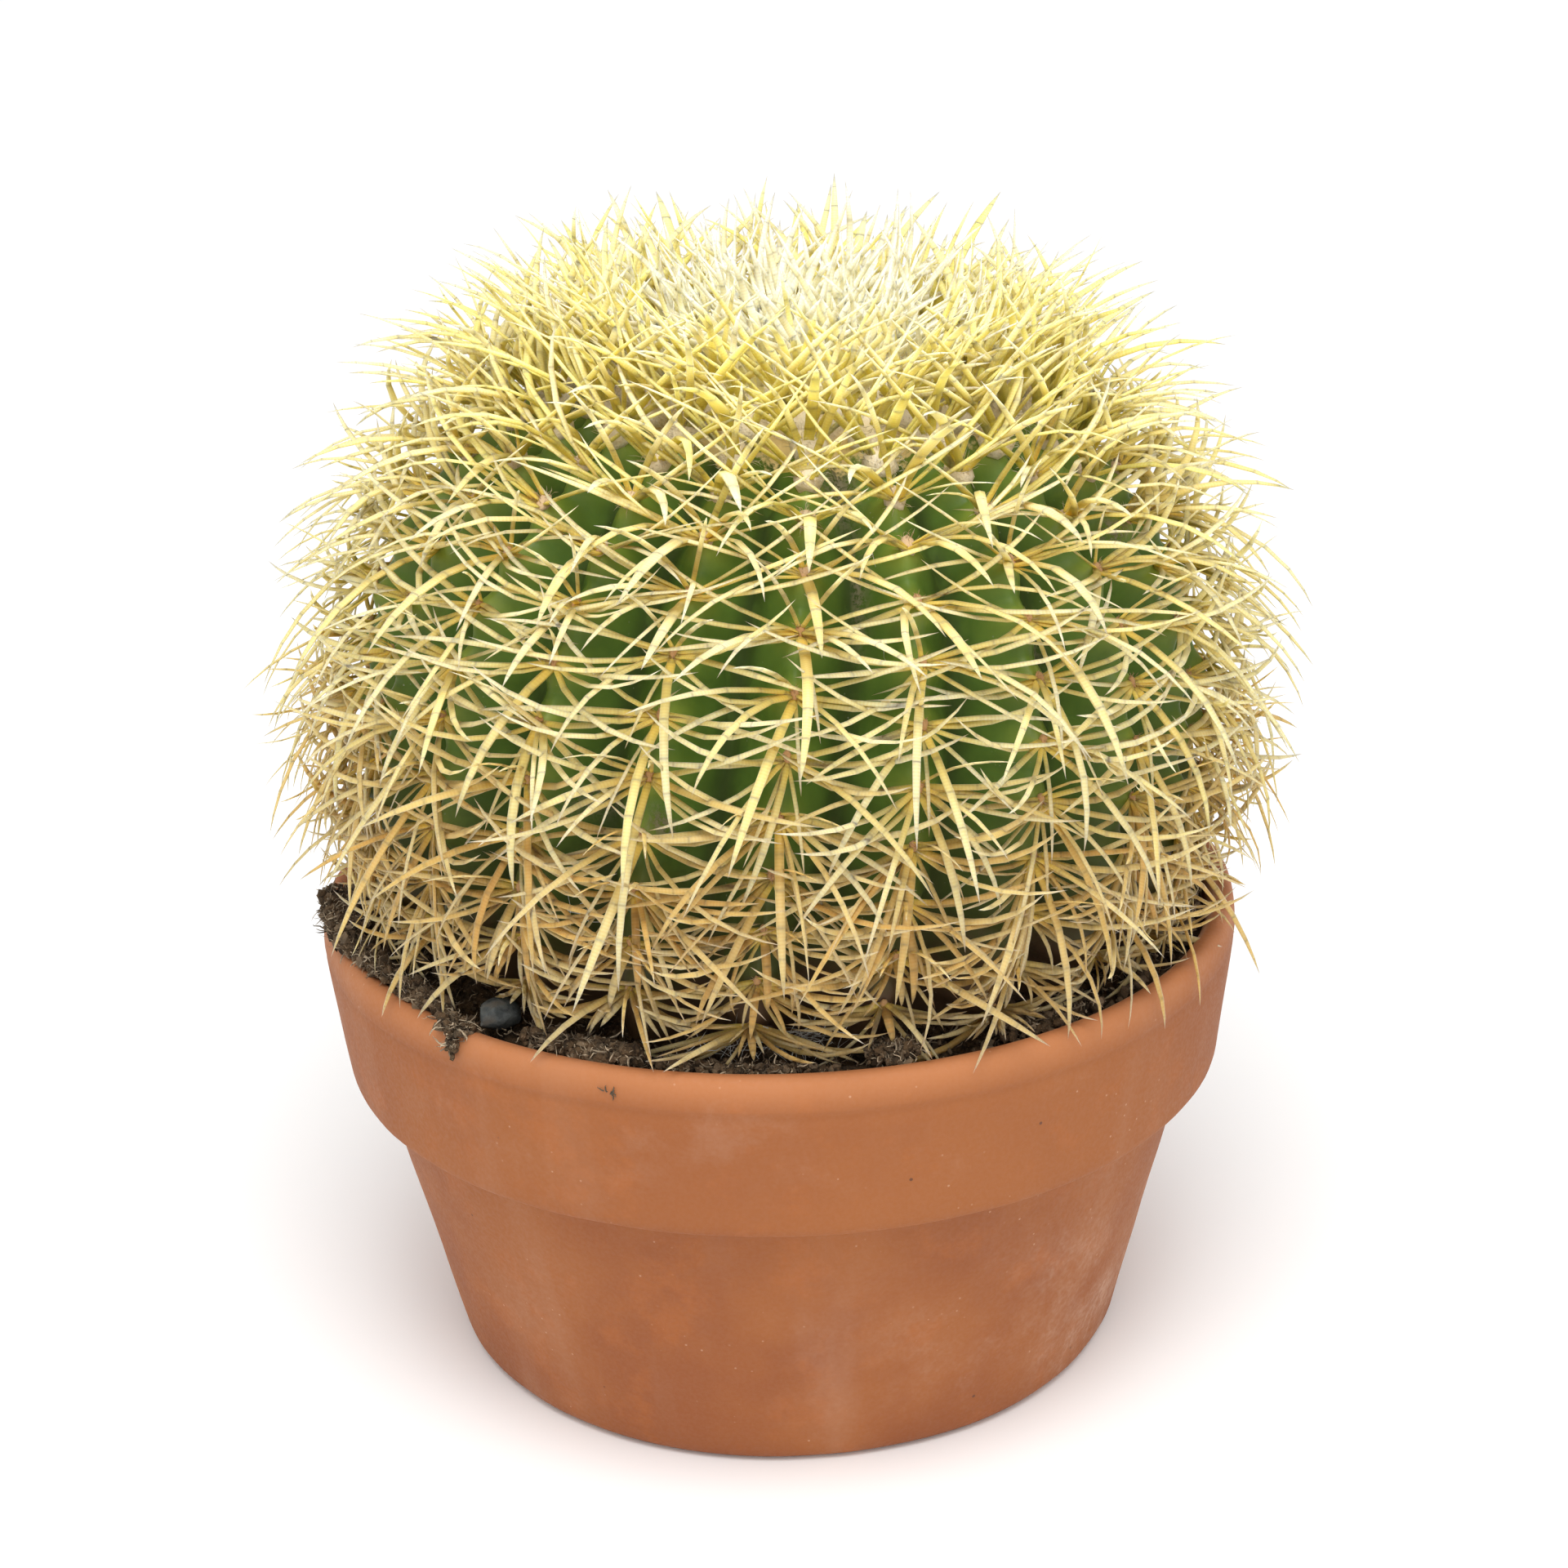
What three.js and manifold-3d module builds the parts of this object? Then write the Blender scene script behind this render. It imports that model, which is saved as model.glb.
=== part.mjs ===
// Potted round cactus: a golden barrel cactus in a wide terracotta pot.
// Millimetres, +Z up. The origin is the middle of the pot's base, and the front is towards -Y.
import * as THREE from 'three';
import { mergeVertices } from 'three/addons/utils/BufferGeometryUtils.js';
import Module from 'manifold-3d';

const wasm = await Module();
wasm.setup();

// Pot
const RIM_RADIUS = 160;
const POT_HEIGHT = 163;
const POT_BASE_RADIUS = 120;
const POT_WAIST_RADIUS = 145;
const BAND_FOOT_RADIUS = 154.5;
const BAND_FOOT_Z = 105;
const LIP_DEPTH = 11;
const MOUTH_RADIUS = 150;
const MOUTH_Z = 154;
const FLOOR_THICKNESS = 12;
const FLOOR_RADIUS = 110;
const DRAIN_RADIUS = 12;
const BASE_TURN = 6;
const BAND_TURN = 4;
const NOSE_INSET = 4;
const POT_SIDES = 60;

// Soil
const SEAT_GAP = 0.3;
const SOIL_Z = 156;
const SOIL_ROUGHNESS = 1.1;
const SOIL_LUMPS = [{ around: 7, across: 0.21 }, { around: 13, across: -0.33 }, { around: 23, across: 0.5 }];
const SOIL_RINGS = [0.975, 0.94, 0.89, 0.84];
const SOIL_EDGE_DROP = 4;
const HEAP_HEIGHT = 9;
const HEAP_ANGLE = -170;
const HEAP_WIDTH = 24;

// Plant, in a frame of its own that leans: its middle is at the height of the widest ring.
const WIDEST_Z = 227.1;
const PLANT_CENTRE_X = 2.3;
const PLANT_CENTRE_Y = -0.4;
const LEAN_RIGHT = 3.9;
const LEAN_FRONT = 1;
const BODY_RADIUS = 142.8;
const BODY_RISE = 120.2;
const BODY_DROP = 130;
const BODY_SQUARENESS = 2.37;
const RIB_COUNT = 22;
const RIB_PHASE = -0.4;
const RIB_UNEVENNESS = 1.2;
const RIB_TWIST = 0.0321;
const RIB_DEPTH = 21;
const RIB_TAPER = 1.3;
const RIB_FULLNESS = 1.15;
const BURIED_FADE = 0.9;
const CREST_WIDTH = 3.2;
const FLANK_SHARE = 0.46;
const CHIN_HEIGHT = 1.8;
const FOOT_RADIUS = 42;
const VALLEY_ROWS = 11;
const FLANK_ROWS = 14;

// Areoles down a rib: the first lies at the crown, and the steps grow to the full step at the shoulder.
const FIRST_AREOLE = 58.5;
const FIRST_STEP = 7.2;
const STEP_GROWTH = 0.11;
const FULL_STEP = 18.3;
const LAST_AREOLE = 271;
const BURIED_START = 283;
const BURIED_ROW = 330;
const AREOLE_LENGTH = 4.2;
const PAD_HEIGHT = 0.8;

// Crown of wool
const WELL_RADIUS = 54.4;
const WELL_FLOOR_RADIUS = 53.6;
const WELL_FLOOR = 103;
const CROWN_RADIUS = 51;
const CROWN_EDGE_Z = 112;
const CROWN_TOP_Z = 124.5;
const CROWN_RINGS = 6;
const CROWN_SPINE_ROOT = 1.3;
const CROWN_SPLAY = 0.12;
const CROWN_SPLAY_GROWTH = 0.5;
const CROWN_SPINE_LENGTH = 34;
const CROWN_SPINE_GROWTH = 8;
const CROWN_DISORDER = 0.25;

// Spines
const YOUNG_END = 165;
const YOUNG_LIFT = 0.5;
const YOUNG_LENGTH = 47;
const YOUNG_RISE = 0.18;
const YOUNG_SPREAD = 0.45;
const DISORDER = 0.1;
const DISORDER_STEP = 0.015;
const LIFT_STEP = 0.05;
const REACH_RADIUS = 179.5;
const REACH_Z = 388;
const SPINE_ROOT = 1.4;
const SPINE_SPACE = 0.35;
const POT_SPACE = 1.2;
const TRIES = 14;
const BODY_SEED = 7;
const CROWN_SEED = 21;

// Pebble
const PEBBLE_PLACE = new THREE.Vector3(-92, -104, 160.5);
const PEBBLE_SIZE = new THREE.Vector3(8.5, 6.5, 5.5);
const PEBBLE_TURN = 40;

const degrees = THREE.MathUtils.degToRad;

// A seeded source of even random numbers from 0 to 1.
function randomSource(seed) {
  let state = seed;
  return () => {
    state = (state + 0x6d2b79f5) | 0;
    let mixed = Math.imul(state ^ (state >>> 15), 1 | state);
    mixed = (mixed + Math.imul(mixed ^ (mixed >>> 7), 61 | mixed)) ^ mixed;
    return ((mixed ^ (mixed >>> 14)) >>> 0) / 4294967296;
  };
}

// A closed surface that grows point by point and triangle by triangle.
class Shell {
  constructor() {
    this.points = [];
    this.triangles = [];
  }

  point(place) {
    this.points.push(place.clone());
    return this.points.length - 1;
  }

  triangle(a, b, c) {
    this.triangles.push([a, b, c]);
  }

  // Fills the strip between two rows of marks, each { at, index }, that run the same way.
  strip(first, second, flip = false) {
    const put = (a, b, c) => (flip ? this.triangle(a, c, b) : this.triangle(a, b, c));
    let i = 0;
    let j = 0;
    while (i < first.length - 1 || j < second.length - 1) {
      const nextFirst = i < first.length - 1 ? first[i + 1].at : Infinity;
      const nextSecond = j < second.length - 1 ? second[j + 1].at : Infinity;
      if (nextFirst <= nextSecond) {
        put(first[i].index, first[i + 1].index, second[j].index);
        i += 1;
      } else {
        put(first[i].index, second[j + 1].index, second[j].index);
        j += 1;
      }
    }
  }

  // Closes a ring of point indices to one point.
  fan(ring, tip, flip = false) {
    for (let i = 0; i < ring.length; i += 1) {
      const next = ring[(i + 1) % ring.length];
      if (flip) this.triangle(next, ring[i], tip);
      else this.triangle(ring[i], next, tip);
    }
  }

  // Raises a three-sided spine from the triangle a, b, c, or leaves it flat if there is no room for one.
  spine(a, b, c, tip) {
    if (!tip) {
      this.triangle(a, b, c);
      return;
    }
    const end = this.point(tip);
    this.triangle(a, b, end);
    this.triangle(b, c, end);
    this.triangle(c, a, end);
  }

  geometry() {
    const geometry = new THREE.BufferGeometry();
    const places = this.points.flatMap((p) => [p.x, p.y, p.z]);
    geometry.setAttribute('position', new THREE.Float32BufferAttribute(places, 3));
    geometry.setIndex(this.triangles.flat());
    geometry.computeVertexNormals();
    return geometry;
  }
}

// The outline of a rib's crest in the radius and height plane, from the top of the plant to its foot.
class CrestOutline extends THREE.Curve {
  getPoint(t, target = new THREE.Vector2()) {
    const angle = Math.PI * (0.5 - t);
    const across = Math.pow(Math.max(Math.cos(angle), 0), 2 / BODY_SQUARENESS);
    const along = Math.sign(Math.sin(angle)) * Math.pow(Math.abs(Math.sin(angle)), 2 / BODY_SQUARENESS);
    return target.set(BODY_RADIUS * across, along * (along > 0 ? BODY_RISE : BODY_DROP));
  }
}

const crest = new CrestOutline();
crest.arcLengthDivisions = 800;
const crestLength = crest.getLength();

// The distance down the crest, from the top, at which the outline first has this radius.
function distanceAtRadius(radius, fromFoot = false) {
  let low = 0;
  let high = crestLength / 2;
  for (let i = 0; i < 40; i += 1) {
    const middle = (low + high) / 2;
    const place = fromFoot ? crestLength - middle : middle;
    if (crest.getPointAt(place / crestLength).x < radius) low = middle;
    else high = middle;
  }
  return fromFoot ? crestLength - low : low;
}

const crestStart = distanceAtRadius(WELL_RADIUS);
const crestEnd = distanceAtRadius(FOOT_RADIUS, true);

// The angle of a rib around the plant at a height in the plant's frame.
function ribAngle(rib, z) {
  const even = RIB_PHASE + (rib * 360) / RIB_COUNT;
  const uneven = RIB_UNEVENNESS * Math.cos(2 * degrees(even));
  return degrees(-90 + even - uneven + RIB_TWIST * z);
}

// Right, down and out, and the place, on the crest's outline turned to an angle.
function crestFrame(distance, angle) {
  const share = distance / crestLength;
  const outline = crest.getPointAt(share);
  const slope = crest.getTangentAt(share);
  const across = new THREE.Vector3(Math.cos(angle), Math.sin(angle), 0);
  const up = new THREE.Vector3(0, 0, 1);
  const place = across.clone().multiplyScalar(outline.x).addScaledVector(up, outline.y);
  const down = across.clone().multiplyScalar(slope.x).addScaledVector(up, slope.y);
  const out = across.clone().multiplyScalar(-slope.y).addScaledVector(up, slope.x);
  const right = new THREE.Vector3(-Math.sin(angle), Math.cos(angle), 0);
  return { place, down, out, right, radius: outline.x };
}

// How deep the valley between two ribs is. It gets shallow at the crown and fades out in the soil.
function valleyDepth(distance) {
  const radius = crest.getPointAt(distance / crestLength).x;
  const buried = THREE.MathUtils.smoothstep(distance, BURIED_START, crestEnd);
  return RIB_DEPTH * Math.pow(radius / BODY_RADIUS, RIB_TAPER) * (1 - BURIED_FADE * buried);
}

// A point of the body between rib and the next one: share 0 is the crest and 1 the valley.
function bodyPoint(rib, share, distance, raised) {
  const z = crest.getPointAt(distance / crestLength).y;
  const here = ribAngle(rib, z);
  const next = ribAngle(rib + Math.sign(share), z);
  const angle = here + ((next - here) * Math.abs(share)) / 2;
  const frame = crestFrame(distance, angle);
  const depth = valleyDepth(distance) * Math.pow(Math.abs(share), RIB_FULLNESS);
  return frame.place.addScaledVector(frame.out, raised - depth);
}

// The distances down a rib at which its areoles lie. Every other rib is half a step lower.
function areoleDistances(rib) {
  const distances = [];
  let distance = FIRST_AREOLE + (rib % 2 === 0 ? 0 : (FIRST_STEP + STEP_GROWTH * FIRST_AREOLE) / 2);
  while (distance < LAST_AREOLE) {
    distances.push(distance);
    distance += Math.min(FULL_STEP, FIRST_STEP + STEP_GROWTH * distance);
  }
  return distances;
}

// The kinds of spine on an areole: out, down and right are parts of the direction, length is the real one.
const SPINE_KINDS = {
  upper: { out: 0.86, down: -0.42, right: 0, length: 35 },
  leftUpper: { out: 0.42, down: -0.16, right: -0.9, length: 34 },
  leftLower: { out: 0.4, down: 0.42, right: -0.8, length: 34 },
  lower: { out: 0.7, down: 0.72, right: 0.06, length: 48 },
  rightLower: { out: 0.4, down: 0.42, right: 0.8, length: 34 },
  rightUpper: { out: 0.42, down: -0.16, right: 0.9, length: 34 },
};

// A kind as it grows at a distance down the rib: near the crown all its spines are long and stand up.
function aged(kind, distance) {
  const youth = 1 - THREE.MathUtils.smoothstep(distance, YOUNG_END / 2, YOUNG_END);
  return {
    out: kind.out + YOUNG_LIFT * youth,
    down: kind.down * (1 - (1 - YOUNG_SPREAD) * youth) - YOUNG_RISE * youth,
    right: kind.right,
    length: kind.length + (YOUNG_LENGTH - kind.length) * youth,
  };
}

// The least distance between two stretches, with the shares along them at which it lies.
function closest(from, to, otherFrom, otherTo) {
  const along = to.clone().sub(from);
  const other = otherTo.clone().sub(otherFrom);
  const between = from.clone().sub(otherFrom);
  const a = along.dot(along);
  const b = along.dot(other);
  const c = other.dot(other);
  const d = along.dot(between);
  const e = other.dot(between);
  const base = Math.max(a * c - b * b, 1e-9);
  let s = THREE.MathUtils.clamp((b * e - c * d) / base, 0, 1);
  const t = THREE.MathUtils.clamp((b * s + e) / c, 0, 1);
  s = THREE.MathUtils.clamp((b * t - d) / a, 0, 1);
  const here = from.clone().addScaledVector(along, s);
  const there = otherFrom.clone().addScaledVector(other, t);
  return { gap: here.distanceTo(there), s, t };
}

// All the spines placed so far, so that a new one can be bent clear of them.
class Thicket {
  constructor() {
    this.spines = [];
  }

  hasRoom(from, to, root, cluster) {
    return this.spines.every((spine) => {
      if (spine.cluster === cluster) return true;
      if (spine.from.distanceTo(from) > 100) return true;
      const { gap, s, t } = closest(from, to, spine.from, spine.to);
      return gap > root * (1 - s) + spine.root * (1 - t) + SPINE_SPACE;
    });
  }

  add(from, to, root, cluster) {
    this.spines.push({ from, to, root, cluster });
  }
}

// The plant's place and lean in the pot.
const plant = new THREE.Group();
plant.position.set(PLANT_CENTRE_X, PLANT_CENTRE_Y, WIDEST_Z);
plant.rotation.set(degrees(LEAN_FRONT), degrees(LEAN_RIGHT), 0);
plant.updateMatrixWorld(true);

// The height of the soil's surface. It is lumpy, and heaped against the rim on one side.
function soilHeight(radius, angle) {
  const lumps = SOIL_LUMPS.reduce((sum, lump) => sum + Math.sin(lump.around * angle + lump.across * radius), 0);
  const off = THREE.MathUtils.radToDeg(Math.atan2(Math.sin(angle - degrees(HEAP_ANGLE)),
    Math.cos(angle - degrees(HEAP_ANGLE))));
  const heap = HEAP_HEIGHT * Math.exp(-Math.pow(off / HEAP_WIDTH, 2));
  return SOIL_Z + SOIL_ROUGHNESS * lumps + heap;
}

// Whether a young spine of the crown passes over the ribs that stand round the well.
function clearOfRibs(from, to) {
  for (let share = 0; share <= 1.001; share += 0.04) {
    const place = from.clone().lerp(to, share);
    const flat = Math.hypot(place.x, place.y);
    const ribTop = BODY_RISE * Math.pow(1 - Math.pow(flat / BODY_RADIUS, BODY_SQUARENESS), 1 / BODY_SQUARENESS);
    if (flat > CROWN_RADIUS && place.z < ribTop + CHIN_HEIGHT + PAD_HEIGHT + CROWN_SPINE_ROOT) return false;
  }
  return true;
}

// Whether a spine stays clear of the pot, the soil, the pebble and the crown's wool, past its root.
function clearOfRest(from, to) {
  for (let share = 0.12; share <= 1.001; share += 0.08) {
    const local = from.clone().lerp(to, share);
    const flat = Math.hypot(local.x, local.y);
    if (flat < WELL_RADIUS && local.z < CROWN_TOP_Z + 1.5) return false;
    const world = plant.localToWorld(local.clone());
    const radius = Math.hypot(world.x, world.y);
    const ground = soilHeight(radius, Math.atan2(world.y, world.x)) + POT_SPACE;
    if (radius < MOUTH_RADIUS + 1 && world.z < ground) return false;
    if (radius >= MOUTH_RADIUS - 2 && radius < RIM_RADIUS + POT_SPACE
      && world.z < POT_HEIGHT + POT_SPACE) return false;
    const pebble = world.clone().sub(PEBBLE_PLACE).divide(PEBBLE_SIZE);
    if (pebble.length() < 1.35) return false;
  }
  return true;
}

// The tip, kept inside the round and the height that the whole plant's spines reach.
function withinReach(from, direction, length) {
  let reach = length;
  let tip = from.clone().addScaledVector(direction, reach);
  for (let i = 0; i < 30; i += 1) {
    const world = plant.localToWorld(tip.clone());
    if (Math.hypot(world.x, world.y) <= REACH_RADIUS && world.z <= REACH_Z) break;
    reach *= 0.985;
    tip = from.clone().addScaledVector(direction, reach);
  }
  return tip;
}

// Finds where a spine's tip goes: first as the kind grows, then lifted and turned until it is clear.
function findTip(thicket, random, from, frame, kind, root, cluster) {
  for (let attempt = 0; attempt < TRIES; attempt += 1) {
    const spread = DISORDER + DISORDER_STEP * attempt;
    const lift = LIFT_STEP * attempt;
    const out = kind.out + lift + spread * (random() - 0.5) * 2;
    const down = kind.down * (1 - 0.5 * lift) + spread * (random() - 0.5);
    const right = kind.right * (1 - 0.5 * lift) + spread * (random() - 0.5);
    const direction = frame.out.clone().multiplyScalar(out)
      .addScaledVector(frame.down, down)
      .addScaledVector(frame.right, right)
      .normalize();
    const length = kind.length * (0.88 + 0.24 * random());
    const tip = withinReach(from, direction, length);
    if (clearOfRest(from, tip) && thicket.hasRoom(from, tip, root, cluster)) {
      thicket.add(from, tip, root, cluster);
      return tip;
    }
  }
  return null;
}

function middleOf(shell, indices) {
  const middle = new THREE.Vector3();
  indices.forEach((index) => middle.add(shell.points[index]));
  return middle.divideScalar(indices.length);
}

// One areole: a small pad on the crest whose six faces are drawn out to spines.
function growAreole(shell, thicket, random, rib, distance, corners, cluster, grown) {
  const angle = ribAngle(rib, crest.getPointAt(distance / crestLength).y);
  const frame = crestFrame(distance, angle);
  const pad = shell.point(bodyPoint(rib, 0, distance, CHIN_HEIGHT + PAD_HEIGHT + grown));
  const { topLeft, left, footLeft, topRight, right, footRight } = corners;
  const faces = {
    upper: [topLeft, pad, topRight],
    leftUpper: [topLeft, left, pad],
    leftLower: [left, footLeft, pad],
    lower: [footLeft, footRight, pad],
    rightLower: [footRight, right, pad],
    rightUpper: [right, topRight, pad],
  };
  Object.entries(faces).forEach(([name, face]) => {
    const root = middleOf(shell, face);
    const kind = aged(SPINE_KINDS[name], distance);
    const tip = thicket ? findTip(thicket, random, root, frame, kind, SPINE_ROOT, cluster) : null;
    shell.spine(...face, tip);
  });
}

// The rows of one side of a rib's crest: three for each areole and one in the notch below it.
function crestRows(rib, distances, grown) {
  const rows = [{ at: crestStart, raised: 0 }];
  distances.forEach((distance, i) => {
    const half = AREOLE_LENGTH / 2;
    const after = i < distances.length - 1 ? distances[i + 1] : distance + FULL_STEP;
    rows.push({ at: distance - half, raised: CHIN_HEIGHT });
    rows.push({ at: distance, raised: CHIN_HEIGHT });
    rows.push({ at: distance + half, raised: CHIN_HEIGHT });
    rows.push({ at: (distance + after) / 2 + half / 2, raised: 0 });
  });
  rows.push({ at: BURIED_ROW, raised: 0 });
  rows.push({ at: crestEnd, raised: 0 });
  return rows.map((row) => ({ ...row, raised: row.raised + grown }));
}

// A column of marks down the body at a share of the way to the next rib.
function column(shell, rib, share, rows) {
  return rows.map((row) => ({
    at: row.at,
    index: shell.point(bodyPoint(rib, share, row.at, row.raised)),
  }));
}

function evenRows(count, grown) {
  return Array.from({ length: count }, (unused, i) => ({
    at: crestStart + ((crestEnd - crestStart) * i) / (count - 1),
    raised: grown,
  }));
}

// The share of the way to the valley at which the flat of the crest ends.
function crestShare(distance) {
  const radius = crest.getPointAt(distance / crestLength).x;
  return CREST_WIDTH / ((2 * Math.PI * radius) / RIB_COUNT);
}

function crestColumn(shell, rib, side, rows) {
  return rows.map((row) => ({
    at: row.at,
    index: shell.point(bodyPoint(rib, side * crestShare(row.at), row.at, row.raised)),
  }));
}

// The strip along a crest, with the areoles where there are any.
function growCrest(shell, thicket, random, rib, leftColumn, rightColumn, distances, grown) {
  const pads = new Map(distances.map((distance, i) => [1 + 4 * i, distance]));
  let row = 0;
  while (row < leftColumn.length - 1) {
    if (pads.has(row)) {
      const corners = {
        topLeft: leftColumn[row].index,
        left: leftColumn[row + 1].index,
        footLeft: leftColumn[row + 2].index,
        topRight: rightColumn[row].index,
        right: rightColumn[row + 1].index,
        footRight: rightColumn[row + 2].index,
      };
      growAreole(shell, thicket, random, rib, pads.get(row), corners, `${rib} ${row}`, grown);
      row += 2;
    } else {
      shell.strip(leftColumn.slice(row, row + 2), rightColumn.slice(row, row + 2));
      row += 1;
    }
  }
}

// The ribbed body. With a thicket it grows spines, and without, a little larger, it is the hollow in the soil.
function ribbedBody(grown, thicket) {
  const shell = new Shell();
  const random = randomSource(BODY_SEED);
  const valleys = [];
  for (let rib = 0; rib < RIB_COUNT; rib += 1) valleys.push(column(shell, rib, -1, evenRows(VALLEY_ROWS, grown)));
  const rim = [];
  const foot = [];
  for (let rib = 0; rib < RIB_COUNT; rib += 1) {
    const distances = areoleDistances(rib);
    const rows = crestRows(rib, distances, grown);
    const leftCrest = crestColumn(shell, rib, -1, rows);
    const rightCrest = crestColumn(shell, rib, 1, rows);
    const leftFlank = column(shell, rib, -FLANK_SHARE, evenRows(FLANK_ROWS, grown));
    const rightFlank = column(shell, rib, FLANK_SHARE, evenRows(FLANK_ROWS, grown));
    const leftValley = valleys[rib];
    const rightValley = valleys[(rib + 1) % RIB_COUNT];
    shell.strip(leftValley, leftFlank);
    shell.strip(leftFlank, leftCrest);
    growCrest(shell, thicket, random, rib, leftCrest, rightCrest, distances, grown);
    shell.strip(rightCrest, rightFlank);
    shell.strip(rightFlank, rightValley);
    [leftValley, leftFlank, leftCrest, rightCrest, rightFlank].forEach((line) => {
      rim.push(line[0].index);
      foot.push(line[line.length - 1].index);
    });
  }
  closeTop(shell, rim, grown);
  const footZ = crest.getPointAt(crestEnd / crestLength).y - grown;
  shell.fan(foot, shell.point(new THREE.Vector3(0, 0, footZ)), true);
  return shell.geometry();
}

// The round well in the top that holds the crown.
function closeTop(shell, rim, grown) {
  const step = 5;
  const floor = [];
  for (let i = 0; i <= RIB_COUNT; i += 1) {
    if (i === RIB_COUNT) {
      floor.push({ at: i * step, index: floor[0].index });
      continue;
    }
    const edge = shell.points[rim[i * step]];
    const place = new THREE.Vector3(edge.x, edge.y, 0).setLength(WELL_FLOOR_RADIUS).setZ(WELL_FLOOR);
    floor.push({ at: i * step, index: shell.point(place) });
  }
  const edge = [...rim, rim[0]].map((index, at) => ({ at, index }));
  shell.strip(edge, floor);
  const ring = floor.slice(0, -1).map((mark) => mark.index);
  shell.fan(ring, shell.point(new THREE.Vector3(0, 0, WELL_FLOOR + grown)));
}

// The wool crown: a low dome in the well. Each face of its top carries one upright young spine.
function woolCrown(thicket) {
  const shell = new Shell();
  const random = randomSource(CROWN_SEED);
  const rings = [[shell.point(new THREE.Vector3(0, 0, CROWN_TOP_Z))]];
  for (let ring = 1; ring <= CROWN_RINGS; ring += 1) {
    const share = ring / CROWN_RINGS;
    const z = CROWN_EDGE_Z + (CROWN_TOP_Z - CROWN_EDGE_Z) * Math.sqrt(1 - share * share);
    rings.push(crownRing(shell, 6 * ring, CROWN_RADIUS * share, z));
  }
  for (let ring = 0; ring < CROWN_RINGS; ring += 1) {
    crownFaces(rings[ring], rings[ring + 1]).forEach((face, i) => {
      growYoungSpine(shell, thicket, random, face, `crown ${ring} ${i}`);
    });
  }
  const edge = rings[CROWN_RINGS];
  const under = crownRing(shell, edge.length, CROWN_RADIUS, WELL_FLOOR + SEAT_GAP);
  const marks = (ring) => [...ring, ring[0]].map((index, at) => ({ at, index }));
  shell.strip(marks(under), marks(edge));
  shell.fan(under, shell.point(new THREE.Vector3(0, 0, WELL_FLOOR + SEAT_GAP)), true);
  return shell.geometry();
}

function crownRing(shell, count, radius, z) {
  const angleStep = (2 * Math.PI) / count;
  return Array.from({ length: count }, (unused, i) => shell.point(
    new THREE.Vector3(radius * Math.cos(i * angleStep), radius * Math.sin(i * angleStep), z),
  ));
}

// The faces between two rings of the crown, whose shares around it are merged in order.
function crownFaces(inner, outer) {
  const faces = { triangles: [], triangle: (a, b, c) => faces.triangles.push([a, b, c]) };
  const around = (ring) => [...ring, ring[0]].map((index, i) => ({ at: i / ring.length, index }));
  if (inner.length === 1) return outer.map((index, i) => [index, outer[(i + 1) % outer.length], inner[0]]);
  Shell.prototype.strip.call(faces, around(outer), around(inner));
  return faces.triangles;
}

// A young spine on a face of the wool: a narrow root inside the face, and a tip that leans outwards.
function growYoungSpine(shell, thicket, random, face, cluster) {
  const middle = middleOf(shell, face);
  const size = shell.points[face[0]].distanceTo(middle);
  const share = Math.min(CROWN_SPINE_ROOT / size, 0.5);
  const roots = face.map((index) => shell.point(middle.clone().lerp(shell.points[index], share)));
  for (let i = 0; i < 3; i += 1) {
    const next = (i + 1) % 3;
    shell.triangle(face[i], face[next], roots[next]);
    shell.triangle(face[i], roots[next], roots[i]);
  }
  const flat = Math.hypot(middle.x, middle.y);
  const across = new THREE.Vector3(middle.x, middle.y, 0).divideScalar(Math.max(flat, 1e-6));
  const frame = {
    out: new THREE.Vector3(0, 0, 1),
    down: across,
    right: new THREE.Vector3(-across.y, across.x, 0),
  };
  const edgeShare = flat / CROWN_RADIUS;
  const kind = {
    down: CROWN_SPLAY + CROWN_SPLAY_GROWTH * edgeShare,
    length: CROWN_SPINE_LENGTH + CROWN_SPINE_GROWTH * edgeShare,
  };
  const tip = findYoungTip(thicket, random, middle, frame, kind, cluster);
  shell.spine(...roots, tip);
}

function findYoungTip(thicket, random, from, frame, kind, cluster) {
  for (let attempt = 0; attempt < TRIES; attempt += 1) {
    const spread = CROWN_DISORDER + DISORDER_STEP * attempt;
    const direction = frame.out.clone()
      .addScaledVector(frame.down, kind.down + spread * (random() - 0.5))
      .addScaledVector(frame.right, 2 * spread * (random() - 0.5))
      .normalize();
    const tip = withinReach(from, direction, kind.length * (0.8 + 0.35 * random()));
    if (clearOfRibs(from, tip) && thicket.hasRoom(from, tip, CROWN_SPINE_ROOT, cluster)) {
      thicket.add(from, tip, CROWN_SPINE_ROOT, cluster);
      return tip;
    }
  }
  return null;
}

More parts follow.
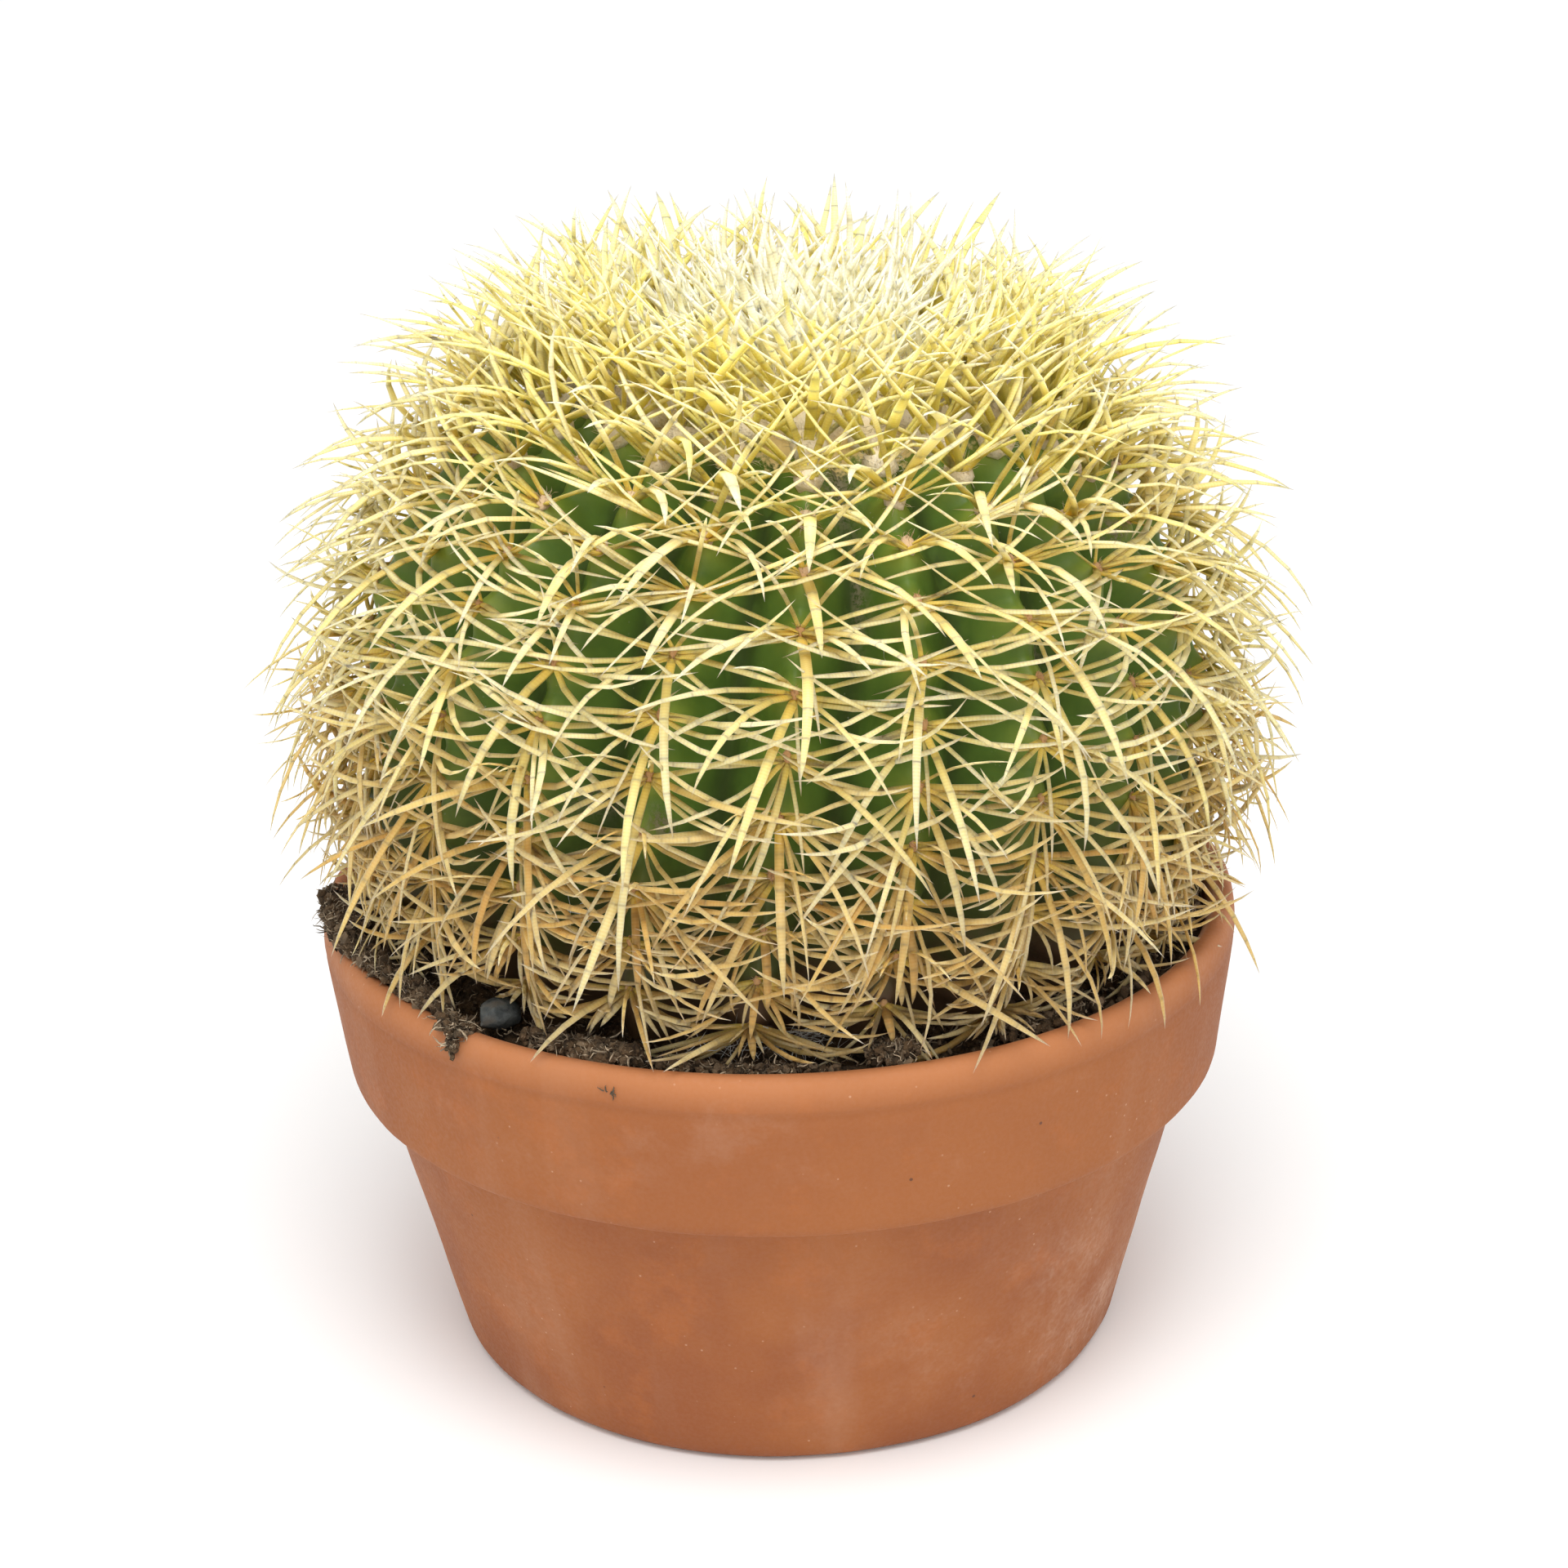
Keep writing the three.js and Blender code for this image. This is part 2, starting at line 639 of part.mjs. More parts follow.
// The pot's wall in section, from the edge of the drain hole round the outside and back inside.
function potOutline() {
  const outline = new THREE.Path();
  const lipZ = POT_HEIGHT - LIP_DEPTH;
  const slope = (POT_WAIST_RADIUS - POT_BASE_RADIUS) / BAND_FOOT_Z;
  const bandSlope = (RIM_RADIUS - BAND_FOOT_RADIUS) / (lipZ - BAND_FOOT_Z);
  outline.moveTo(DRAIN_RADIUS, 0);
  outline.lineTo(POT_BASE_RADIUS - BASE_TURN, 0);
  outline.quadraticCurveTo(POT_BASE_RADIUS, 0, POT_BASE_RADIUS + slope * BASE_TURN, BASE_TURN);
  outline.lineTo(POT_WAIST_RADIUS, BAND_FOOT_Z);
  outline.lineTo(BAND_FOOT_RADIUS - BAND_TURN, BAND_FOOT_Z);
  outline.quadraticCurveTo(
    BAND_FOOT_RADIUS,
    BAND_FOOT_Z,
    BAND_FOOT_RADIUS + bandSlope * BAND_TURN,
    BAND_FOOT_Z + BAND_TURN,
  );
  outline.lineTo(RIM_RADIUS, lipZ);
  outline.quadraticCurveTo(RIM_RADIUS, POT_HEIGHT, RIM_RADIUS - NOSE_INSET, POT_HEIGHT);
  outline.quadraticCurveTo(MOUTH_RADIUS, POT_HEIGHT, MOUTH_RADIUS, MOUTH_Z);
  outline.lineTo(FLOOR_RADIUS, FLOOR_THICKNESS);
  outline.lineTo(DRAIN_RADIUS, FLOOR_THICKNESS);
  outline.lineTo(DRAIN_RADIUS, 0);
  return outline.getPoints(3);
}

// Turns an outline round Z and joins its shared points.
function turned(points, sides) {
  const geometry = new THREE.LatheGeometry(points, sides);
  geometry.rotateX(Math.PI / 2);
  return welded(geometry);
}

function welded(geometry) {
  geometry.deleteAttribute('normal');
  geometry.deleteAttribute('uv');
  return mergeVertices(geometry, 1e-4);
}

function solid(geometry) {
  return new wasm.Manifold(new wasm.Mesh({
    numProp: 3,
    vertProperties: new Float32Array(geometry.attributes.position.array),
    triVerts: new Uint32Array(geometry.index.array),
  }));
}

function fromSolid(body) {
  const mesh = body.getMesh();
  const geometry = new THREE.BufferGeometry();
  geometry.setAttribute('position', new THREE.Float32BufferAttribute(mesh.vertProperties, 3));
  geometry.setIndex(new THREE.Uint32BufferAttribute(mesh.triVerts, 1));
  geometry.computeVertexNormals();
  return geometry;
}

// The radius of the pot's inner wall at a height.
function innerRadius(z) {
  const share = (z - FLOOR_THICKNESS) / (MOUTH_Z - FLOOR_THICKNESS);
  return FLOOR_RADIUS + (MOUTH_RADIUS - FLOOR_RADIUS) * Math.min(share, 1);
}

function pebbleShape(grown) {
  const geometry = welded(new THREE.IcosahedronGeometry(1, 1));
  geometry.scale(PEBBLE_SIZE.x + grown, PEBBLE_SIZE.y + grown, PEBBLE_SIZE.z + grown);
  geometry.rotateZ(degrees(PEBBLE_TURN));
  geometry.computeVertexNormals();
  return geometry;
}

// The soil: a filling of the pot with a lumpy top, less the plant's foot and the pebble.
function soilShape() {
  const wallTop = SOIL_Z - SOIL_EDGE_DROP;
  const bottom = FLOOR_THICKNESS + SEAT_GAP;
  const outline = [new THREE.Vector2(0, bottom), new THREE.Vector2(innerRadius(bottom) - SEAT_GAP, bottom)];
  outline.push(new THREE.Vector2(innerRadius(wallTop) - SEAT_GAP, wallTop));
  SOIL_RINGS.forEach((share) => outline.push(new THREE.Vector2(MOUTH_RADIUS * share, SOIL_Z)));
  outline.push(new THREE.Vector2(0, SOIL_Z));
  const filling = turned(outline, POT_SIDES);
  const places = filling.attributes.position;
  for (let i = 0; i < places.count; i += 1) {
    const radius = Math.hypot(places.getX(i), places.getY(i));
    if (places.getZ(i) === SOIL_Z && radius > 1) {
      places.setZ(i, soilHeight(radius, Math.atan2(places.getY(i), places.getX(i))));
    }
  }
  const foot = ribbedBody(SEAT_GAP, null);
  foot.applyMatrix4(plant.matrixWorld);
  const stone = pebbleShape(SEAT_GAP);
  stone.translate(PEBBLE_PLACE.x, PEBBLE_PLACE.y, PEBBLE_PLACE.z);
  return fromSolid(solid(filling).subtract(solid(foot)).subtract(solid(stone)));
}

function finish(colour, roughness) {
  return new THREE.MeshStandardMaterial({ color: colour, roughness, metalness: 0 });
}

function named(name, geometry, material) {
  const mesh = new THREE.Mesh(geometry, material);
  mesh.name = name;
  return mesh;
}

const thicket = new Thicket();
const crownShape = woolCrown(thicket);
const cactusShape = ribbedBody(0, thicket);

const pottedCactus = new THREE.Group();
pottedCactus.add(named('pot', turned(potOutline(), POT_SIDES), finish(0xb8703f, 0.8)));
pottedCactus.add(named('soil', soilShape(), finish(0x4a3a2c, 1)));
const pebble = named('pebble', pebbleShape(0), finish(0x4d5558, 0.6));
pebble.position.copy(PEBBLE_PLACE);
pottedCactus.add(pebble);
plant.add(named('cactus', cactusShape, finish(0x3f6a2c, 0.45)));
plant.add(named('crown', crownShape, finish(0xf0e0a8, 0.9)));
pottedCactus.add(plant);

export default pottedCactus;
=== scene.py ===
"""Potted round cactus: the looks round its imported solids. Metres, +Z up, and the front is towards -Y."""

import logging
import math
from dataclasses import dataclass
from enum import Enum
from functools import cached_property
from itertools import pairwise

import bmesh
import bpy
import numpy as np
from mathutils import Euler, Matrix, Vector, noise

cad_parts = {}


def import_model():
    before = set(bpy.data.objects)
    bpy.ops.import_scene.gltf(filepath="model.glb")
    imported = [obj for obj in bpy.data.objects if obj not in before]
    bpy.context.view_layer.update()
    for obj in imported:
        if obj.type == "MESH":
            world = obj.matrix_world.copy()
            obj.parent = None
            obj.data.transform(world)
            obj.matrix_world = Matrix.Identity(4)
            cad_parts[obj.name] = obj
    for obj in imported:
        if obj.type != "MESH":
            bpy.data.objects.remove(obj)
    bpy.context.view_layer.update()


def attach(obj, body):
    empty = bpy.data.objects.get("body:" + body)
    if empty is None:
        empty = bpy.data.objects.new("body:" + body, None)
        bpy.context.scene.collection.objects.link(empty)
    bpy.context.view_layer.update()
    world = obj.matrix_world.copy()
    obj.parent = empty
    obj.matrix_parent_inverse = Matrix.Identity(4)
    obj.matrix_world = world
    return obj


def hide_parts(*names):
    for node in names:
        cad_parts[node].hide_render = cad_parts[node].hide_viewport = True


LOG = logging.getLogger("potted_cactus")
BODY = "root"

Colour = tuple[float, float, float]
Socket = bpy.types.NodeSocket
Points = np.ndarray


def smoothstep(values: Points | float, low: float, high: float) -> Points:
    """Rise smoothly from 0 at low to 1 at high.

    Args:
        values: What is compared with the two limits.
        low: Where the rise starts.
        high: Where it ends.

    Returns:
        The eased share, from 0 to 1.
    """
    share = np.clip((np.asarray(values, float) - low) / (high - low), 0.0, 1.0)
    return share * share * (3.0 - 2.0 * share)


def fading(value: float, start: float, end: float) -> float:
    """Fall smoothly from 1 at start to 0 at end."""
    return 1 - float(smoothstep(value, start, end))


def unit(vectors: Points) -> Points:
    """Scale each row to a length of 1."""
    return vectors / np.maximum(np.linalg.norm(vectors, axis=-1, keepdims=True), 1e-12)


def compass(angle: float) -> tuple[Points, Points]:
    """The level directions away from an axis and to the right of that, at an angle round it."""
    across, right = math.cos(angle), math.sin(angle)
    return np.array([across, right, 0.0]), np.array([-right, across, 0.0])


def tangled(rng: np.random.Generator, least: float, most: float) -> dict:
    """A bend to any side, for a strand that turns by an angle between two limits."""
    return {"bend": rng.normal(0, 1, 3), "face": rng.normal(0, 1, 3), "turn": rng.uniform(least, most)}


def places_of(mesh: bpy.types.Mesh) -> Points:
    """Read a mesh's vertices as rows of x, y and z.

    Args:
        mesh: The mesh that is read.

    Returns:
        The rows.
    """
    flat = np.zeros(len(mesh.vertices) * 3)
    mesh.vertices.foreach_get("co", flat)
    return flat.reshape(-1, 3)


def move_to(mesh: bpy.types.Mesh, places: Points) -> None:
    """Put a mesh's vertices at these places."""
    mesh.vertices.foreach_set("co", places.astype(np.float32).ravel())
    mesh.update()


def mark(mesh: bpy.types.Mesh, name: str, values: Points) -> None:
    """Keep one number for each vertex, for the mesh's material to read."""
    layer = mesh.attributes.new(name, "FLOAT", "POINT")
    layer.data.foreach_set("value", np.asarray(values, np.float32).ravel())


def mesh_from(name: str, bm: bmesh.types.BMesh) -> bpy.types.Mesh:
    """Turn a bmesh into a mesh, with its faces turned outwards, and free the bmesh.

    Args:
        name: What the mesh is called.
        bm: The finished bmesh.

    Returns:
        The new mesh.
    """
    bmesh.ops.recalc_face_normals(bm, faces=bm.faces)
    mesh = bpy.data.meshes.new(name)
    bm.to_mesh(mesh)
    bm.free()
    return mesh


def repeated(name: str, template: bpy.types.Mesh, count: int) -> bpy.types.Mesh:
    """Join copies of a small mesh in one new mesh, and remove the small one.

    Args:
        name: What the new mesh is called.
        template: The small mesh.
        count: How many copies there are.

    Returns:
        The new mesh, with all its copies in one place.
    """
    bm = bmesh.new()
    for _ in range(count):
        bm.from_mesh(template)
    bpy.data.meshes.remove(template)
    mesh = bpy.data.meshes.new(name)
    bm.to_mesh(mesh)
    bm.free()
    return mesh


def piece_from(
    mesh: bpy.types.Mesh,
    material: bpy.types.Material,
    stands_for: str = "",
    smooth: bool = True,
) -> bpy.types.Object:
    """Make a dressed piece of a mesh and let it ride on the part.

    Args:
        mesh: The finished mesh, whose name the piece takes.
        material: The finish of all its faces.
        stands_for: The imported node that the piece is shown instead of.
        smooth: Whether its faces are shaded as one round surface.

    Returns:
        The piece.
    """
    mesh.materials.append(material)
    mesh.polygons.foreach_set("use_smooth", [smooth] * len(mesh.polygons))
    piece = bpy.data.objects.new(mesh.name, mesh)
    bpy.context.scene.collection.objects.link(piece)
    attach(piece, BODY)
    if stands_for:
        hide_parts(stands_for)
    mesh.calc_loop_triangles()
    LOG.info("%s: %d triangles", piece.name, len(mesh.loop_triangles))
    return piece


def soft_corner(before: Vector, corner: Vector, after: Vector, steps: int) -> list[Vector]:
    """Points of a rounded corner between two points of an outline.

    Args:
        before: Where the round starts.
        corner: The sharp corner that it rounds.
        after: Where the round ends.
        steps: How many stretches the round has.

    Returns:
        The points, with both ends.
    """
    shares = [step / steps for step in range(steps + 1)]
    return [before * (1 - s) ** 2 + corner * 2 * s * (1 - s) + after * s * s for s in shares]


def turned_on_axis(name: str, outline: list[Vector], steps: int, closed: bool) -> bpy.types.Mesh:
    """Spin an outline in the XZ plane all the way round Z.

    Args:
        name: What the mesh is called.
        outline: The points of the outline, in order.
        steps: How many stretches the round has.
        closed: Whether the outline's last point joins its first.

    Returns:
        The closed mesh.
    """
    bm = bmesh.new()
    points = [bm.verts.new(place) for place in outline]
    edges = [bm.edges.new(pair) for pair in pairwise(points)]
    if closed:
        edges.append(bm.edges.new((points[-1], points[0])))
    bmesh.ops.spin(
        bm, geom=points + edges, cent=(0, 0, 0), axis=(0, 0, 1), dvec=(0, 0, 0),
        angle=2 * math.pi, steps=steps, use_merge=True,
    )
    bmesh.ops.remove_doubles(bm, verts=bm.verts, dist=1e-6)
    return mesh_from(name, bm)


class NodeSheet:
    """The node tree of one material, with short calls for the nodes that the finishes use."""

    def __init__(self, name: str) -> None:
        """Start a material with one Principled shader.

        Args:
            name: What the material is called.
        """
        self.material = bpy.data.materials.new(name)
        self.material.use_nodes = True
        self.tree = self.material.node_tree
        self.shader = self.tree.nodes["Principled BSDF"]
        self.object_coords = self.add("ShaderNodeTexCoord").outputs["Object"]

    def add(self, kind: str, inputs: dict | None = None, **settings: object) -> bpy.types.Node:
        """Add a node.

        Args:
            kind: Blender's name for the kind of node.
            inputs: Values or sockets for its inputs, by name or number.
            settings: Its other properties.

        Returns:
            The new node.
        """
        node = self.tree.nodes.new(kind)
        for key, value in settings.items():
            setattr(node, key, value)
        for key, value in (inputs or {}).items():
            self.feed(node.inputs[key], value)
        return node

    def feed(self, socket: Socket, value: object) -> None:
        """Link a socket to an input, or set the input's own value.

        Args:
            socket: The input.
            value: A socket, a number, a vector or a colour.
        """
        if isinstance(value, bpy.types.NodeSocket):
            self.tree.links.new(value, socket)
        elif isinstance(value, tuple) and len(value) == 3 and socket.type == "RGBA":
            socket.default_value = (*value, 1.0)
        else:
            socket.default_value = value

    def stretched(self, scale: tuple[float, float, float]) -> Socket:
        """The object's coordinates, scaled on each axis."""
        return self.add("ShaderNodeMapping", {"Vector": self.object_coords, "Scale": scale}).outputs["Vector"]

    def axis(self, name: str) -> Socket:
        """One of the object's coordinates, X, Y or Z."""
        return self.add("ShaderNodeSeparateXYZ", {0: self.object_coords}).outputs[name]

    def dots(self, scale: float) -> Socket:
        """The distance to the nearest of the points that are strewn through the material."""
        inputs = {"Scale": scale, "Vector": self.object_coords}
        return self.add("ShaderNodeTexVoronoi", inputs).outputs["Distance"]

    def noise(
        self, scale: float, detail: float = 4.0, where: Socket | None = None, rough: float = 0.55,
    ) -> Socket:
        """A cloudy pattern.

        Args:
            scale: How many clouds there are in a metre.
            detail: How many finer layers it has.
            where: The coordinates that it reads.
            rough: How strong the finer layers are.

        Returns:
            Its grey value.
        """
        inputs = {"Vector": where or self.object_coords, "Scale": scale, "Detail": detail, "Roughness": rough}
        return self.add("ShaderNodeTexNoise", inputs).outputs[0]

    def marked(self, name: str) -> Socket:
        """A number that the mesh keeps for each vertex."""
        return self.add("ShaderNodeAttribute", attribute_name=name).outputs["Fac"]

    def ranged(self, value: Socket, low: float, high: float, start: float = 0.0, end: float = 1.0) -> Socket:
        """Ease a value from start at low to end at high.

        Args:
            value: What is mapped.
            low: The value that gives start.
            high: The value that gives end.
            start: The result at low.
            end: The result at high.

        Returns:
            The mapped value.
        """
        inputs = {0: value, 1: low, 2: high, 3: start, 4: end}
        return self.add("ShaderNodeMapRange", inputs, interpolation_type="SMOOTHSTEP").outputs[0]

    def maths(self, operation: str, first: object, second: object = 0.0) -> Socket:
        """Work out one operation on two numbers."""
        return self.add("ShaderNodeMath", {0: first, 1: second}, operation=operation).outputs[0]

    def times(self, first: object, *others: object) -> Socket:
        """Multiply shares with each other.

        Args:
            first: The first share.
            others: The rest, each a number or a socket.

        Returns:
            Their product.
        """
        for other in others:
            first = self.maths("MULTIPLY", first, other)
        return first

    def mixed(self, share: object, first: object, second: object, blend: str = "MIX") -> Socket:
        """Mix two colours.

        Args:
            share: How much of the second colour there is.
            first: The colour at 0.
            second: The colour at 1.
            blend: How the two are mixed.

        Returns:
            The mixed colour.
        """
        node = self.add("ShaderNodeMix", data_type="RGBA", blend_type=blend, clamp_factor=True)
        self.feed(node.inputs[0], share)
        self.feed(node.inputs[6], first)
        self.feed(node.inputs[7], second)
        return node.outputs[2]

    def bumped(
        self, height: Socket, depth: float, strength: float = 1.0, under: Socket | None = None,
    ) -> Socket:
        """Raise the surface's normal by a height.

        Args:
            height: The pattern of the relief.
            depth: How deep it is, in metres.
            strength: How strongly it shows.
            under: The normal of a coarser relief below it.

        Returns:
            The new normal.
        """
        inputs = {"Height": height, "Distance": depth, "Strength": strength}
        if under is not None:
            inputs["Normal"] = under
        return self.add("ShaderNodeBump", inputs).outputs[0]

    def finish(
        self, colour: Socket, roughness: object, normal: Socket | None = None, **fixed: float,
    ) -> bpy.types.Material:
        """Feed the shader.

        Args:
            colour: The base colour.
            roughness: The roughness, a number or a socket.
            normal: The surface's normal.
            fixed: Other inputs of the shader, constant all over, with _ for a space.

        Returns:
            The finished material.
        """
        self.feed(self.shader.inputs["Base Color"], colour)
        self.feed(self.shader.inputs["Roughness"], roughness)
        if normal is not None:
            self.feed(self.shader.inputs["Normal"], normal)
        for key, value in fixed.items():
            self.shader.inputs[key.replace("_", " ")].default_value = value
        return self.material


@dataclass(frozen=True)
class Terracotta:
    """Fired orange clay, with faint clouds, salt bloom, streaks and a few dark specks, and a painted
    highlight that lightens the lip.
    """

    # The lip colour is the clay lightened by a painted highlight on the top of the rim.
    lip: Colour = (0.468, 0.180, 0.068)
    clay: Colour = (0.328, 0.109, 0.031)
    deep: Colour = (0.276, 0.085, 0.026)
    rust: Colour = (0.392, 0.119, 0.028)
    bloom: Colour = (0.60, 0.40, 0.29)
    worn: Colour = (0.66, 0.42, 0.28)
    speck: Colour = (0.13, 0.05, 0.025)

    def material(self) -> bpy.types.Material:
        """Build the finish.

        Returns:
            The material.
        """
        sheet = NodeSheet("terracotta")
        height = sheet.axis("Z")
        clouds = sheet.noise(16.0, 5.0)
        colour = sheet.mixed(sheet.ranged(clouds, 0.36, 0.66), self.deep, self.clay)
        band = sheet.ranged(height, 0.098, 0.112)
        colour = sheet.mixed(sheet.times(band, 0.55), colour, self.clay)
        rust = sheet.noise(38.0, 6.0, rough=0.7)
        colour = sheet.mixed(sheet.ranged(rust, 0.50, 0.68, 0.0, 0.45), colour, self.rust)
        # Painted highlight: the clay is lightened towards the lip colour at the top of the rim.
        lip = sheet.ranged(height, 0.1495, 0.1625)
        colour = sheet.mixed(sheet.times(lip, 0.85), colour, self.lip)
        colour = self.bloomed(sheet, colour)
        flat = sheet.stretched((1.0, 1.0, 0.0))
        across = sheet.add("ShaderNodeVectorMath", {0: flat}, operation="LENGTH").outputs["Value"]
        edge = sheet.times(sheet.ranged(across, 0.1540, 0.1515), sheet.ranged(rust, 0.36, 0.56))
        colour = sheet.mixed(sheet.times(edge, sheet.times(lip, 0.75)), colour, self.worn)
        colour = self.gritty(sheet, colour)
        grain = sheet.noise(700.0, 4.0)
        relief = sheet.bumped(grain, 0.0003, 0.35)
        turning = sheet.noise(9.0, 4.0, sheet.stretched((1.0, 1.0, 22.0)))
        relief = sheet.bumped(turning, 0.0006, 0.25, relief)
        relief = sheet.bumped(clouds, 0.0012, 0.3, relief)
        roughness = sheet.ranged(grain, 0.3, 0.7, 0.62, 0.82)
        return sheet.finish(colour, roughness, relief, Specular_IOR_Level=0.35)

    def bloomed(self, sheet: NodeSheet, colour: Socket) -> Socket:
        """Lay the salt on the clay: faint streaks, powder low on the right, and smears on the band.

        Args:
            sheet: The clay's nodes.
            colour: The colour of the bare clay.

        Returns:
            The colour with the salt.
        """
        height = sheet.axis("Z")
        streaks = sheet.noise(30.0, 3.0, sheet.stretched((1.0, 1.0, 0.12)))
        colour = sheet.mixed(sheet.ranged(streaks, 0.5, 0.8, 0.0, 0.12), colour, self.bloom)
        patches = sheet.ranged(sheet.noise(9.0, 7.0, rough=0.68), 0.50, 0.68)
        powder = sheet.ranged(sheet.noise(420.0, 3.0), 0.35, 0.7, 0.35, 1.0)
        low = sheet.ranged(height, 0.115, 0.0)
        outer = sheet.ranged(sheet.axis("X"), 0.03, 0.13, 0.25, 1.0)
        bloom = sheet.times(patches, powder, sheet.times(low, outer), 0.8)
        colour = sheet.mixed(bloom, colour, self.bloom)
        smears = sheet.ranged(sheet.noise(26.0, 7.0, rough=0.74), 0.52, 0.74)
        smears = sheet.times(smears, sheet.ranged(height, 0.10, 0.15, 0.04, 0.11))
        return sheet.mixed(smears, colour, self.bloom)

    def gritty(self, sheet: NodeSheet, colour: Socket) -> Socket:
        """Strew pale grit and a few dark specks over the clay.

        Args:
            sheet: The clay's nodes.
            colour: The colour so far.

        Returns:
            The colour with both.
        """
        grit = sheet.ranged(sheet.dots(210.0), 0.05, 0.11, 1.0, 0.0)
        strewn = sheet.ranged(sheet.noise(33.0, 2.0), 0.50, 0.62, 0.0, 0.4)
        colour = sheet.mixed(sheet.times(grit, strewn), colour, self.worn)
        dark = sheet.ranged(sheet.dots(95.0), 0.045, 0.075, 1.0, 0.0)
        rare = sheet.ranged(sheet.noise(60.0, 1.0), 0.60, 0.64)
        return sheet.mixed(sheet.times(dark, rare), colour, self.speck)


@dataclass(frozen=True)
class Peat:
    """Dark potting soil: fibrous brown clods with paler crumbs."""

    dark: Colour = (0.026, 0.017, 0.010)
    brown: Colour = (0.120, 0.074, 0.038)
    pale: Colour = (0.37, 0.27, 0.17)

    def material(self) -> bpy.types.Material:
        """Build the finish.

        Returns:
            The material.
        """
        sheet = NodeSheet("peat")
        clods = sheet.noise(260.0, 6.0, rough=0.7)
        colour = sheet.mixed(sheet.ranged(clods, 0.38, 0.62), self.dark, self.brown)
        colour = sheet.mixed(sheet.times(sheet.marked("tone"), 0.55), colour, self.pale)
        fine = sheet.noise(1400.0, 4.0)
        colour = sheet.mixed(sheet.ranged(fine, 0.60, 0.74, 0.0, 0.75), colour, self.pale)
        relief = sheet.bumped(sheet.noise(620.0, 6.0, rough=0.7), 0.0012)
        return sheet.finish(colour, 0.95, relief, Specular_IOR_Level=0.2)


@dataclass(frozen=True)
class Straw:
    """Dry plant fibre, each one of its own tone."""

    dark: Colour = (0.055, 0.034, 0.018)
    pale: Colour = (0.58, 0.46, 0.31)

    def material(self) -> bpy.types.Material:
        """Build the finish.

        Returns:
            The material.
        """
        sheet = NodeSheet("fibre")
        colour = sheet.mixed(sheet.marked("tone"), self.dark, self.pale)
        return sheet.finish(colour, 0.8)


@dataclass(frozen=True)
class Bluestone:
    """Blue-grey stone with pale grains and dusty hollows."""

    dark: Colour = (0.043, 0.052, 0.054)
    pale: Colour = (0.150, 0.165, 0.158)
    dust: Colour = (0.16, 0.115, 0.075)

    def material(self) -> bpy.types.Material:
        """Build the finish.

        Returns:
            The material.
        """
        sheet = NodeSheet("bluestone")
        clouds = sheet.noise(180.0, 6.0, rough=0.65)
        colour = sheet.mixed(sheet.ranged(clouds, 0.35, 0.7), self.dark, self.pale)
        colour = sheet.mixed(sheet.ranged(sheet.noise(90.0, 3.0), 0.55, 0.7, 0.0, 0.6), colour, self.dust)
        relief = sheet.bumped(sheet.noise(900.0, 5.0), 0.0006, 0.7)
        return sheet.finish(colour, 0.68, relief)


